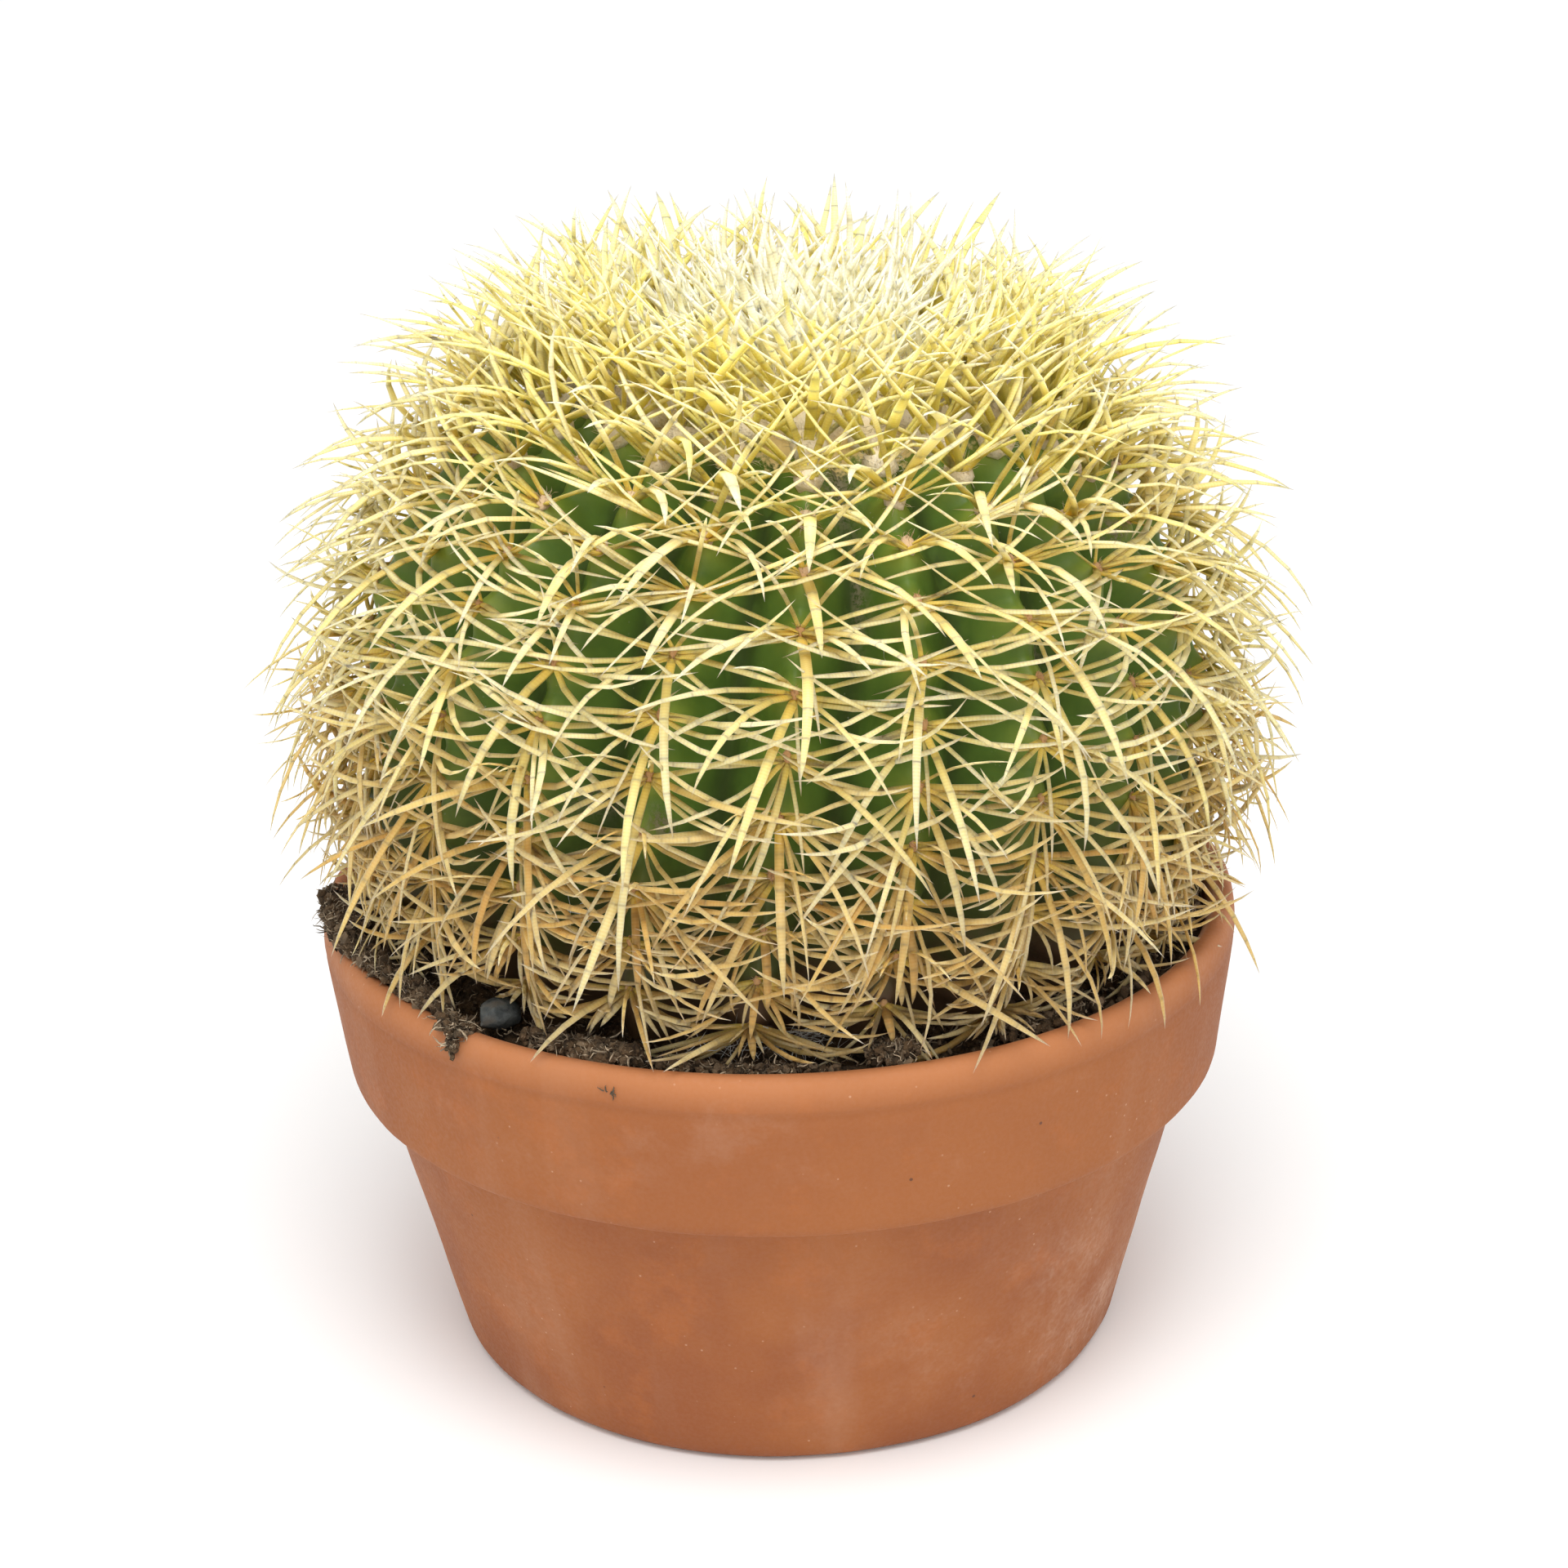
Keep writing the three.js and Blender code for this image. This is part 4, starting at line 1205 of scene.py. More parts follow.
    def build(self, peat: Peat) -> None:
        """Build the bed, then its crumbs and fibres.

        Args:
            peat: The soil's finish.
        """
        rng = np.random.default_rng(self.seed)
        finish = peat.material()
        self.bed(finish)
        self.loose_crumbs(finish, rng)
        self.loose_fibres(rng)


@dataclass(frozen=True)
class Pebble:
    """The faceted stone in the soil at the front left."""

    place: tuple[float, float, float] = (-0.0905, -0.1065, 0.1614)
    size: tuple[float, float, float] = (0.0070, 0.0060, 0.0056)
    turn: float = 40.0
    facets: int = 11
    seed: int = 5

    def build(self, stone: Bluestone) -> None:
        """Cut a ball flat on several sides, soften its edges, and set it in its place.

        Args:
            stone: The stone's finish.
        """
        rng = np.random.default_rng(self.seed)
        bm = bmesh.new()
        bmesh.ops.create_icosphere(bm, subdivisions=4, radius=1.12)
        for _ in range(self.facets):
            side = Vector(rng.normal(0, 1, 3)).normalized()
            depth = float(rng.uniform(0.74, 0.92))
            everything = bm.verts[:] + bm.edges[:] + bm.faces[:]
            cut = bmesh.ops.bisect_plane(
                bm, geom=everything, plane_co=side * depth, plane_no=side, clear_outer=True)
            rim = [part for part in cut["geom_cut"] if isinstance(part, bmesh.types.BMEdge)]
            bmesh.ops.holes_fill(bm, edges=rim, sides=0)
        bmesh.ops.triangulate(bm, faces=[face for face in bm.faces if len(face.verts) > 4])
        bmesh.ops.subdivide_edges(bm, edges=bm.edges[:], cuts=1, use_grid_fill=True)
        for _ in range(2):
            bmesh.ops.smooth_vert(
                bm, verts=bm.verts, factor=0.5, use_axis_x=True, use_axis_y=True, use_axis_z=True)
        for vert in bm.verts:
            vert.co *= 1 + 0.04 * noise.noise(vert.co * 3)
        turned = Matrix.Translation(self.place) @ Matrix.Rotation(math.radians(self.turn), 4, "Z")
        bmesh.ops.transform(bm, matrix=turned @ Matrix.Diagonal((*self.size, 1.0)), verts=bm.verts)
        piece_from(mesh_from("pebble_stone", bm), stone.material(), "pebble")


@dataclass(frozen=True)
class PlantForm:
    """The ribbed body's form, in a leaning frame of its own whose middle is at the widest ring."""

    centre: tuple[float, float, float] = (0.0023, -0.0004, 0.2271)
    lean_right: float = 3.9
    lean_front: float = 1.0
    radius: float = 0.1428
    rise: float = 0.1202
    drop: float = 0.130
    squareness: float = 2.37
    ribs: int = 22
    rib_phase: float = -0.4
    rib_unevenness: float = 1.2
    rib_twist: float = 32.1
    rib_depth: float = 0.021
    rib_taper: float = 1.3
    buried_fade: float = 0.9
    buried_start: float = 0.283
    crest_end: float = 0.43
    first_areole: float = 0.0585
    first_step: float = 0.0072
    step_growth: float = 0.11
    full_step: float = 0.0183
    last_areole: float = 0.271
    chin: float = 0.0018

    @cached_property
    def crest(self) -> tuple[Points, Points, Points]:
        """The distance down the crest from the top, with its radius and its height there.

        Returns:
            The three, at even steps of the outline's angle.
        """
        angle = np.pi * (0.5 - np.linspace(0.0, 1.0, 4001))
        power = 2 / self.squareness
        across = np.clip(np.cos(angle), 0.0, None) ** power
        along = np.sign(np.sin(angle)) * np.abs(np.sin(angle)) ** power
        radius = self.radius * across
        height = along * np.where(along > 0, self.rise, self.drop)
        steps = np.hypot(np.diff(radius), np.diff(height))
        return np.concatenate(([0.0], np.cumsum(steps))), radius, height

    @cached_property
    def length(self) -> float:
        """The crest's whole length."""
        return float(self.crest[0][-1])

    def radius_at(self, distance: Points) -> Points:
        """The crest's radius at a distance down it."""
        return np.interp(distance, self.crest[0], self.crest[1])

    def height_at(self, distance: Points) -> Points:
        """The crest's height at a distance down it."""
        return np.interp(distance, self.crest[0], self.crest[2])

    def rib_angle(self, rib: Points, height: Points) -> Points:
        """The angle of a rib round the plant, in radians.

        Args:
            rib: The rib's number, or a place between two ribs.
            height: The height above the widest ring.

        Returns:
            The angle.
        """
        even = self.rib_phase + np.asarray(rib) * 360.0 / self.ribs
        uneven = self.rib_unevenness * np.cos(2 * np.radians(even))
        return np.radians(-90.0 + even - uneven + self.rib_twist * height)

    def frame(self, distance: Points, angle: Points) -> tuple[Points, Points, Points, Points]:
        """The place on the turned crest, and the directions out, down and right there.

        Args:
            distance: The distance down the crest from the top.
            angle: The angle round the plant.

        Returns:
            One row each for the place and the three directions.
        """
        distance = np.atleast_1d(np.asarray(distance, float))
        angle = np.atleast_1d(np.asarray(angle, float)) + 0 * distance
        reach = 0.0004
        before = np.clip(distance - reach, 0, self.length)
        after = np.clip(distance + reach, 0, self.length)
        slope_r = self.radius_at(after) - self.radius_at(before)
        slope_z = self.height_at(after) - self.height_at(before)
        size = np.maximum(np.hypot(slope_r, slope_z), 1e-9)
        slope_r, slope_z = (slope_r / size)[:, None], (slope_z / size)[:, None]
        across = np.column_stack((np.cos(angle), np.sin(angle), np.zeros_like(angle)))
        up = np.array([[0.0, 0.0, 1.0]])
        place = across * self.radius_at(distance)[:, None] + up * self.height_at(distance)[:, None]
        right = np.column_stack((-np.sin(angle), np.cos(angle), np.zeros_like(angle)))
        return place, -slope_z * across + slope_r * up, slope_r * across + slope_z * up, right

    def valley_depth(self, distance: Points) -> Points:
        """How deep the valley between two ribs is.

        Args:
            distance: The distance down the crest from the top.

        Returns:
            The depth.
        """
        buried = smoothstep(distance, self.buried_start, self.crest_end)
        depth = self.rib_depth * (self.radius_at(distance) / self.radius) ** self.rib_taper
        return depth * (1 - self.buried_fade * buried)

    def areoles(self, rib: int) -> Points:
        """The distances down a rib at which its areoles lie. Every other rib is half a step lower.

        Args:
            rib: The rib's number.

        Returns:
            The distances, from the top.
        """
        first = self.first_step + self.step_growth * self.first_areole
        distance = self.first_areole + (0.0 if rib % 2 == 0 else first / 2)
        found = []
        while distance < self.last_areole:
            found.append(distance)
            distance += min(self.full_step, self.first_step + self.step_growth * distance)
        return np.array(found)

    @cached_property
    def stance(self) -> tuple[Points, Points]:
        """The rotation and the place of the plant in the pot.

        Returns:
            The matrix, and the middle's place.
        """
        turn = Matrix.Rotation(math.radians(self.lean_front), 3, "X")
        turn = turn @ Matrix.Rotation(math.radians(self.lean_right), 3, "Y")
        return np.array(turn), np.array(self.centre)

    def stand(self, places: Points) -> Points:
        """Carry places from the plant's frame to the pot's."""
        turn, centre = self.stance
        return places @ turn.T + centre

    def face(self, directions: Points) -> Points:
        """Carry directions from the plant's frame to the pot's."""
        return directions @ self.stance[0].T


@dataclass(frozen=True)
class Scar:
    """A corky, scratched place on the skin.

    Attributes:
        rib: Where it is round the plant, counted in ribs.
        distance: How far down from the top it is.
        wide: Half its width, in ribs.
        long: Half its length down the rib.
    """

    rib: float
    distance: float
    wide: float
    long: float


@dataclass(frozen=True)
class Body:
    """The green ribbed body, moulded from a fine ball."""

    form: PlantForm
    columns: int = 16
    rows: int = 168
    top_rows: int = 12
    foot_rows: int = 18
    crest_round: float = 0.13
    valley_round: float = 0.30
    fullness: float = 1.12
    column_crowding: float = 1.25
    swelling: float = 0.0022
    chin_drop: float = 0.10
    # How far the painted highlight round each areole reaches.
    glow_reach: float = 0.0055
    felt_end: float = 0.080
    scars: tuple[Scar, ...] = (
        Scar(0.45, 0.080, 0.22, 0.013), Scar(0.58, 0.118, 0.04, 0.020), Scar(2.4, 0.150, 0.10, 0.006),
        Scar(-1.6, 0.205, 0.14, 0.005), Scar(4.6, 0.120, 0.12, 0.008), Scar(-4.5, 0.140, 0.08, 0.010),
        Scar(8.5, 0.160, 0.20, 0.012), Scar(13.4, 0.130, 0.15, 0.014),
    )
    well_depth: float = 0.009
    well_reach: float = 0.050

    @cached_property
    def section(self) -> tuple[Points, Points]:
        """The rib's outline, rounded at both ends, as shares of the way to the valley and of its depth.

        Returns:
            The shares of the way, and of the depth there.
        """
        share = np.linspace(0.0, 1.0, 401)
        back = 1 - share
        slope = share / np.hypot(share, self.crest_round) * back / np.hypot(back, self.valley_round)
        depth = np.cumsum(slope)
        return share, depth / depth[-1]

    def near_areole(self, rib: Points, distance: Points) -> tuple[Points, Points]:
        """How far each place is from its rib's nearest areole, in metres and in steps.

        Args:
            rib: The number of the rib.
            distance: The distance down it.

        Returns:
            The signed distance, and the share of the local step from 0 to 0.5.
        """
        off = np.zeros_like(distance)
        share = np.zeros_like(distance)
        for parity in (0, 1):
            marks = self.form.areoles(parity)
            mine = rib % 2 == parity
            nearest = marks[np.abs(distance[mine][:, None] - marks[None, :]).argmin(axis=1)]
            off[mine] = distance[mine] - nearest
            step = np.minimum(self.form.full_step, self.form.first_step + self.form.step_growth * nearest)
            share[mine] = np.clip(off[mine] / step, -0.5, 0.5)
        return off, share

    def scarred(self, rib: Points, distance: Points) -> Points:
        """How corky each place is.

        Args:
            rib: Where the place is round the plant, counted in ribs.
            distance: The distance down the rib.

        Returns:
            From 0, sound skin, to 1, the middle of a scar.
        """
        ribs = self.form.ribs
        cork = np.zeros(len(distance))
        for scar in self.scars:
            aside = (rib - scar.rib + ribs / 2) % ribs - ribs / 2
            reach = np.hypot(aside / scar.wide, (distance - scar.distance) / scar.long)
            cork = np.maximum(cork, np.exp(-reach * reach))
        return cork

    def build(self, skin: CactusSkin) -> None:
        """Mould the ribs, the chins round the areoles and the hollow of the crown, and dress the skin.

        Args:
            skin: The skin's finish.
        """
        form = self.form
        around = self.columns * form.ribs
        bm = bmesh.new()
        bmesh.ops.create_uvsphere(bm, u_segments=around, v_segments=self.rows, radius=1.0)
        mesh = mesh_from("cactus_body", bm)
        ball = places_of(mesh)
        row = np.arccos(np.clip(ball[:, 2], -1, 1)) * self.rows / math.pi
        stops = [0, self.top_rows, self.rows - self.foot_rows, self.rows]
        distance = np.interp(row, stops, [0.0, self.well_reach, form.buried_start + 0.012, form.length])
        column = np.round(np.arctan2(ball[:, 1], ball[:, 0]) / (2 * math.pi) * around) % around
        rib = np.floor(column / self.columns + 0.5)
        offset = column / self.columns - rib
        share = np.sign(offset) * np.abs(2 * offset) ** self.column_crowding
        height = form.height_at(distance)
        here = form.rib_angle(rib, height)
        following = form.rib_angle(rib + np.sign(share), height)
        angle = here + (following - here) * np.abs(share) / 2
        place, out, _, _ = form.frame(distance, angle)
        sharp = np.interp(np.abs(share), *self.section) ** self.fullness
        off, phase = self.near_areole(rib % form.ribs, distance)
        chin = 0.5 + 0.5 * np.cos(2 * math.pi * np.clip(phase - self.chin_drop, -0.5, 0.5))
        shown = smoothstep(distance, 0.045, 0.060) * (1 - smoothstep(distance, 0.28, 0.30))
        chin = chin * shown
        raised = form.chin * (1.15 * chin - 0.95 * (shown - chin)) * (1 - np.abs(share)) ** 1.5
        raised += self.swelling * (chin - 0.35) * shown * np.sin(math.pi * np.abs(share)) ** 1.3
        places = place + out * (raised - form.valley_depth(distance) * sharp)[:, None]
        places[:, 2] -= self.well_depth * (1 - smoothstep(distance, 0.040, 0.058))
        move_to(mesh, form.stand(places))
        mark(mesh, "crest", 1 - np.abs(share))
        across = np.abs(share) * math.pi * form.radius_at(distance) / form.ribs
        # Painted highlight for the skin's colour: a yellow-green glow round each areole, kept as the areole
        # attribute.
        painted_glow = np.exp(-((np.hypot(off - 0.001, across * 0.9) / self.glow_reach) ** 2)) * shown
        mark(mesh, "areole", painted_glow)
        mark(mesh, "felt", 1 - smoothstep(distance, 0.060, self.felt_end))
        mark(mesh, "scar", self.scarred(rib + offset, distance))
        piece_from(mesh, skin.material(), "cactus")


class Bend(Enum):
    """What a spine bends towards: the parts off the skin and down the rib, and how much the second varies."""

    SKIN = (-1.0, 0.1, 0.4)
    RISE = (-0.6, -0.8, 0.5)
    SWAY = (-0.7, -0.30, 0.6)
    CLAW = (-0.45, 1.0, 0.2)


@dataclass(frozen=True)
class SpineKind:
    """One kind of spine on an areole.

    Attributes:
        out: The part of its direction away from the skin.
        down: The part down the rib.
        side: The part sideways. A spine with a side is drawn on both sides.
        length: Its length.
        width: Its full width at the root.
        turn: How far it bends, in degrees.
        bend: What it bends towards.
        kept: The share of areoles that have it.
    """

    out: float
    down: float
    side: float
    length: float
    width: float
    turn: float
    bend: Bend
    kept: float = 1.0

    @property
    def paired(self) -> bool:
        """Whether it stands on both sides of the areole."""
        return self.side > 0.2


SPINE_KINDS = (
    SpineKind(0.68, 0.70, 0.00, 0.058, 0.0033, 46, Bend.CLAW),
    SpineKind(0.70, 0.36, 0.58, 0.054, 0.0022, 50, Bend.CLAW, 0.35),
    SpineKind(0.70, 0.18, 0.68, 0.056, 0.0028, 56, Bend.CLAW, 0.4),
    SpineKind(0.76, -0.52, 0.30, 0.034, 0.0018, 36, Bend.CLAW, 0.6),
    SpineKind(0.88, 0.08, 0.44, 0.048, 0.0020, 56, Bend.CLAW, 0.35),
    SpineKind(0.48, -0.14, 0.90, 0.051, 0.0022, 44, Bend.SWAY, 0.9),
    SpineKind(0.44, 0.08, 0.92, 0.055, 0.0024, 46, Bend.SWAY),
    SpineKind(0.50, 0.34, 0.82, 0.055, 0.0024, 54, Bend.RISE),
    SpineKind(0.57, 0.58, 0.60, 0.051, 0.0021, 54, Bend.RISE, 0.75),
    SpineKind(0.54, 0.88, 0.25, 0.038, 0.0015, 34, Bend.SKIN, 0.3),
)
OLD_KINDS = (
    SpineKind(0.54, 0.76, 0.36, 0.043, 0.0016, 52, Bend.RISE, 0.8),
    SpineKind(0.52, 0.58, 0.64, 0.045, 0.0015, 56, Bend.RISE, 0.85),
    SpineKind(0.46, 0.36, 0.80, 0.046, 0.0015, 52, Bend.SWAY, 0.8),
    SpineKind(0.66, 0.24, 0.72, 0.047, 0.0015, 62, Bend.CLAW, 0.6),
    SpineKind(0.72, 0.50, 0.40, 0.048, 0.0016, 56, Bend.CLAW, 0.7),
)


@dataclass(frozen=True)
class PadForm:
    """A felt pad's half sizes, each as an old pad has it and what a young and a fluffy pad have more.

    Attributes:
        long: Down the rib.
        wide: Across it.
        thick: Off the skin.
        young: The distances from the top at which youth starts to fade and has gone.
        fluffy: The same for the fluff.
        fuzz: How many hairs the pad has.
        fuzz_length: The shortest and the longest hair of an old pad.
        fuzz_width: Half a hair's width.
    """

    long: tuple[float, float, float] = (0.0022, 0.0030, 0.0020)
    wide: tuple[float, float, float] = (0.0015, 0.0028, 0.0026)
    thick: tuple[float, float, float] = (0.0009, 0.0026, 0.0022)
    young: tuple[float, float] = (0.072, 0.145)
    fluffy: tuple[float, float] = (0.062, 0.098)
    fuzz: tuple[int, int, int] = (10, 34, 40)
    fuzz_length: tuple[float, float] = (0.0014, 0.0028)
    fuzz_width: float = 0.00011

    def sizes(self, youth: float, fluff: float) -> list[float]:
        """Half the length, the width and the thickness of one pad."""
        return [old + more * youth + most * fluff for old, more, most in (self.long, self.wide, self.thick)]

    def hairs(self, youth: float, fluff: float) -> int:
        """How many hairs one pad has."""
        old, more, most = self.fuzz
        return old + int(more * youth + most * fluff)


@dataclass(frozen=True)
class SpineCoat:
    """All the spines of the ribs, in one piece for each rib, with the felt pads that they grow from."""

    form: PlantForm
    pot: PotForm
    stone_place: tuple[float, float, float]
    seed: int = 7
    disorder: float = 0.095
    thickness: float = 0.42
    root_ring: float = 0.0019
    root_sink: float = 0.0012
    reach_radius: float = 0.1855
    reach_height: float = 0.3975
    clearance: float = 0.0014
    soil_touch: float = 0.003
    young_end: float = 0.165
    young_length: float = 0.061
    fresh_start: float = 0.070
    fresh_end: float = 0.125
    fresh_sparse: float = 0.28
    old_start: float = 0.205
    upright_start: float = 0.062
    upright_end: float = 0.105
    upright_lift: float = 0.55
    face_tilt: float = 0.9
    most_turn: float = 1.4
    lip_height: float = 0.180
    lip_reach: float = 0.148
    overhang_share: float = 0.25
    sight_reach: float = 0.060
    sight_radius: float = 0.0105
    lift_middle: float = 0.45
    lift_side: float = 0.26
    rise: float = 0.16
    least_turn: float = 0.6
    full_turn: float = 1.45
    pad: PadForm = PadForm()

    def spine(self, kind: SpineKind, mirror: float, areole: dict, rng: np.random.Generator) -> dict:
        """Describe one spine.

        Args:
            kind: The kind that it is.
            mirror: 1 for the right side and -1 for the left.
            areole: The place, directions, distance and rib of its areole.
            rng: The source of its small differences.

        Returns:
            One row for Strands.
        """
        youth = fading(areole["distance"], self.young_end / 2, self.young_end)
        upright = fading(areole["distance"], self.upright_start, self.upright_end)
        lift = youth * (self.lift_side if kind.paired else self.lift_middle) + self.upright_lift * upright
        wobble = rng.normal(0, self.disorder, 3)
        out = kind.out + lift + wobble[0] * 0.8
        down = kind.down * (1 - 0.5 * youth) - self.rise * youth + wobble[1]
        side = mirror * kind.side + wobble[2] * (0.8 if kind.paired else 2.3)
        heading = out * areole["out"] + down * areole["down"] + side * areole["right"]
        heading = heading / np.linalg.norm(heading)
        ring = kind.down * areole["down"] * 1.35 + mirror * kind.side * areole["right"] * 0.8
        root = areole["place"] + ring * self.root_ring - heading * self.root_sink
        bend_out, bend_down, vary = kind.bend.value
        bend = bend_out * areole["out"] + (bend_down + rng.normal(0, vary)) * areole["down"]
        face = areole["out"] - math.copysign(self.face_tilt, kind.down + 0.3) * areole["down"]
        length = kind.length + (self.young_length - kind.length) * youth * 0.8
        length *= 1 - 0.18 * float(smoothstep(areole["distance"], self.old_start, self.form.last_areole))
        age = float(smoothstep(areole["distance"], 0.05, 0.26))
        bend = bend + rng.normal(0, 0.2, 3)
        turn = math.radians(kind.turn) * rng.uniform(self.least_turn, self.full_turn)
        turn *= 1 + 0.2 * youth - 0.35 * upright
        return {
            "root": root, "heading": heading, "bend": bend, "face": face, "turn": min(turn, self.most_turn),
            "length": length * rng.uniform(0.78, 1.16),
            "width": kind.width / 2 * rng.uniform(0.85, 1.15) * (1 + 0.3 * youth) * (1 - 0.12 * age),
            "flat": self.thickness * rng.uniform(0.8, 1.25),
            "tone": rng.random(), "age": age + rng.normal(0, 0.04), "group": areole["rib"],
        }

    def areole_frames(self) -> list[dict]:
        """The place and directions of every areole, in the pot's frame.

        Returns:
            One row for each areole, with its rib and its distance down it.
        """
        form = self.form
        found = []
        for rib in range(form.ribs):
            for distance in form.areoles(rib):
                angle = form.rib_angle(rib, form.height_at(distance))
                place, out, down, right = form.frame(distance, angle)
                place = place + out * (form.chin * 1.2)
                found.append({
                    "rib": rib, "distance": float(distance), "place": form.stand(place)[0],
                    "out": form.face(out)[0], "down": form.face(down)[0], "right": form.face(right)[0],
                })
        return found

    def too_far(self, strands: Strands) -> Points:
        """Which spines reach out of the part's box.

        Args:
            strands: The spines.

        Returns:
            True for each of them.
        """
        tips, _ = strands.line(np.array([0.8, 1.0]))
        far = (np.hypot(tips[..., 0], tips[..., 1]) > self.reach_radius).any(axis=1)
        return far | (tips[..., 2] > self.reach_height).any(axis=1)

    def before_stone(self, strands: Strands) -> Points:
        """Which spines stand over the stone or before it.

        Args:
            strands: The spines.

        Returns:
            True for each of them.
        """
        stone = np.array(self.stone_place)
        sight = unit(np.array([[0.0, -0.93, 0.56]]) - stone)[0]
        line, _ = strands.line(np.linspace(0.2, 1.0, 9))
        ahead = (line - stone) @ sight
        aside = np.linalg.norm(line - stone - ahead[..., None] * sight, axis=2)
        return ((ahead > 0) & (ahead < self.sight_reach) & (aside < self.sight_radius)).any(axis=1)

    def cleared(self, strands: Strands) -> Strands:
        """Bow the spines that reach too far, and keep them out of the soil, the rim and the stone.

        Args:
            strands: The spines as they grow.

        Returns:
            The same spines, bowed and shortened.
        """
        upwards = np.array([0.0, 0.0, 1.0])
        for _ in range(24):
            far = self.too_far(strands)
            strands.heading[far] = unit(strands.heading[far] - 0.05 * upwards)
            strands.turn[far] *= 1.02
            strands.length[far] *= 0.99
        shares = np.linspace(0.3, 1.0, 9)
        for _ in range(18):
            line, _ = strands.line(shares)
            sunk = (line[..., 2] < self.pot.ground(line, self.clearance, self.soil_touch)).any(axis=1)
            outwards = unit(strands.root * np.array([1.0, 1.0, 0.0]))
            strands.heading[sunk] = unit(strands.heading + 0.07 * upwards + 0.05 * outwards)[sunk]
            strands.turn[sunk] *= 0.975
            strands.length[sunk] *= 0.965
        held = np.random.default_rng(self.seed + 1).random(len(strands.length)) > self.overhang_share
        for _ in range(18):
            tips, _ = strands.line(np.array([1.0]))
            low = tips[:, 0, 2] < self.lip_height
            over = held & low & (np.hypot(tips[:, 0, 0], tips[:, 0, 1]) > self.lip_reach)
            strands.length[over | self.before_stone(strands)] *= 0.95
            strands.turn[over] *= 1.03
        for _ in range(24):
            strands.length[self.too_far(strands)] *= 0.975
        return strands

    def spines(self, areoles: list[dict], rng: np.random.Generator) -> Strands:
        """Grow every areole's spines.

        Args:
            areoles: The areoles' places and directions.
            rng: The source of its random differences.

        Returns:
            The spines.
        """
        rows = []
        for areole in areoles:
            worn = float(smoothstep(areole["distance"], self.old_start - 0.03, self.old_start + 0.02))
            fresh = fading(areole["distance"], self.fresh_start, self.fresh_end)
            for kind in SPINE_KINDS + OLD_KINDS:
                share = kind.kept * (worn if kind in OLD_KINDS else 1 - self.fresh_sparse * fresh)
                sides = (1.0, -1.0) if kind.paired else (float(rng.choice((-1.0, 1.0))),)
                for mirror in sides:
                    if rng.random() <= share:
                        rows.append(self.spine(kind, mirror, areole, rng))
        return self.cleared(Strands.gathered(rows))

    def pads(self, areoles: list[dict], wool: bpy.types.Material, rng: np.random.Generator) -> None:
        """Put a felt pad with short fuzz on every areole, big and fluffy near the crown.

        Args:
            areoles: The areoles' places and directions.
            wool: The felt's material.
            rng: The source of its random differences.
        """
        bm = bmesh.new()
        bmesh.ops.create_icosphere(bm, subdivisions=2, radius=1.0)
        template = mesh_from("pad_shape", bm)
        ball = places_of(template)
        mesh = repeated("areole_pads", template, len(areoles))
        pad = self.pad
        places, ages, fuzz = [], [], []
        for areole in areoles:
            youth = fading(areole["distance"], *pad.young)
            fluff = fading(areole["distance"], *pad.fluffy)
            long, wide, thick = pad.sizes(youth, fluff)
            knobs = ball * rng.uniform(0.85, 1.15, (len(ball), 1))
            axes = np.stack((areole["down"] * long, areole["right"] * wide, areole["out"] * thick))
            places.append(areole["place"] - areole["out"] * 0.0002 + knobs @ axes)
            ages.append(np.full(len(ball), 0.92 - 0.85 * youth))
            for _ in range(pad.hairs(youth, fluff)):
                spot = unit(rng.normal(0, 1, (1, 3)) * np.array([[1, 1, 0.7]]) + np.array([[0, 0, 0.8]]))[0]
                heading = unit((spot @ axes)[None] + areole["out"][None] * 0.001)[0]
                fuzz.append({
                    "root": areole["place"] + spot @ axes * 0.85, "heading": heading,
                    **tangled(rng, 0.3, 1.8),
                    "length": rng.uniform(*pad.fuzz_length) * (1 + 1.4 * youth), "width": pad.fuzz_width,
                    "tone": rng.random(), "age": 0.75 - 0.72 * youth, "curl": 0.0002,
                })
        move_to(mesh, np.concatenate(places))
        mark(mesh, "tone", rng.random(len(mesh.vertices)))
        mark(mesh, "age", np.concatenate(ages))
        piece_from(mesh, wool)
        piece_from(Strands.gathered(fuzz).mesh("areole_fuzz", FUZZ_SHAPE), wool)

    def build(self, horn: bpy.types.Material, wool: bpy.types.Material) -> None:
        """Grow the pads and the spines, in one piece for each rib.

        Args:
            horn: The spines' material.
            wool: The felt's material.
        """
        rng = np.random.default_rng(self.seed)
        areoles = self.areole_frames()
        coat = self.spines(areoles, rng)
        for rib in range(self.form.ribs):
            mesh = coat.chosen(coat.group == rib).mesh(f"spines_rib_{rib:02d}", SPINE_SHAPE)
            piece_from(mesh, horn)
        self.pads(areoles, wool, rng)


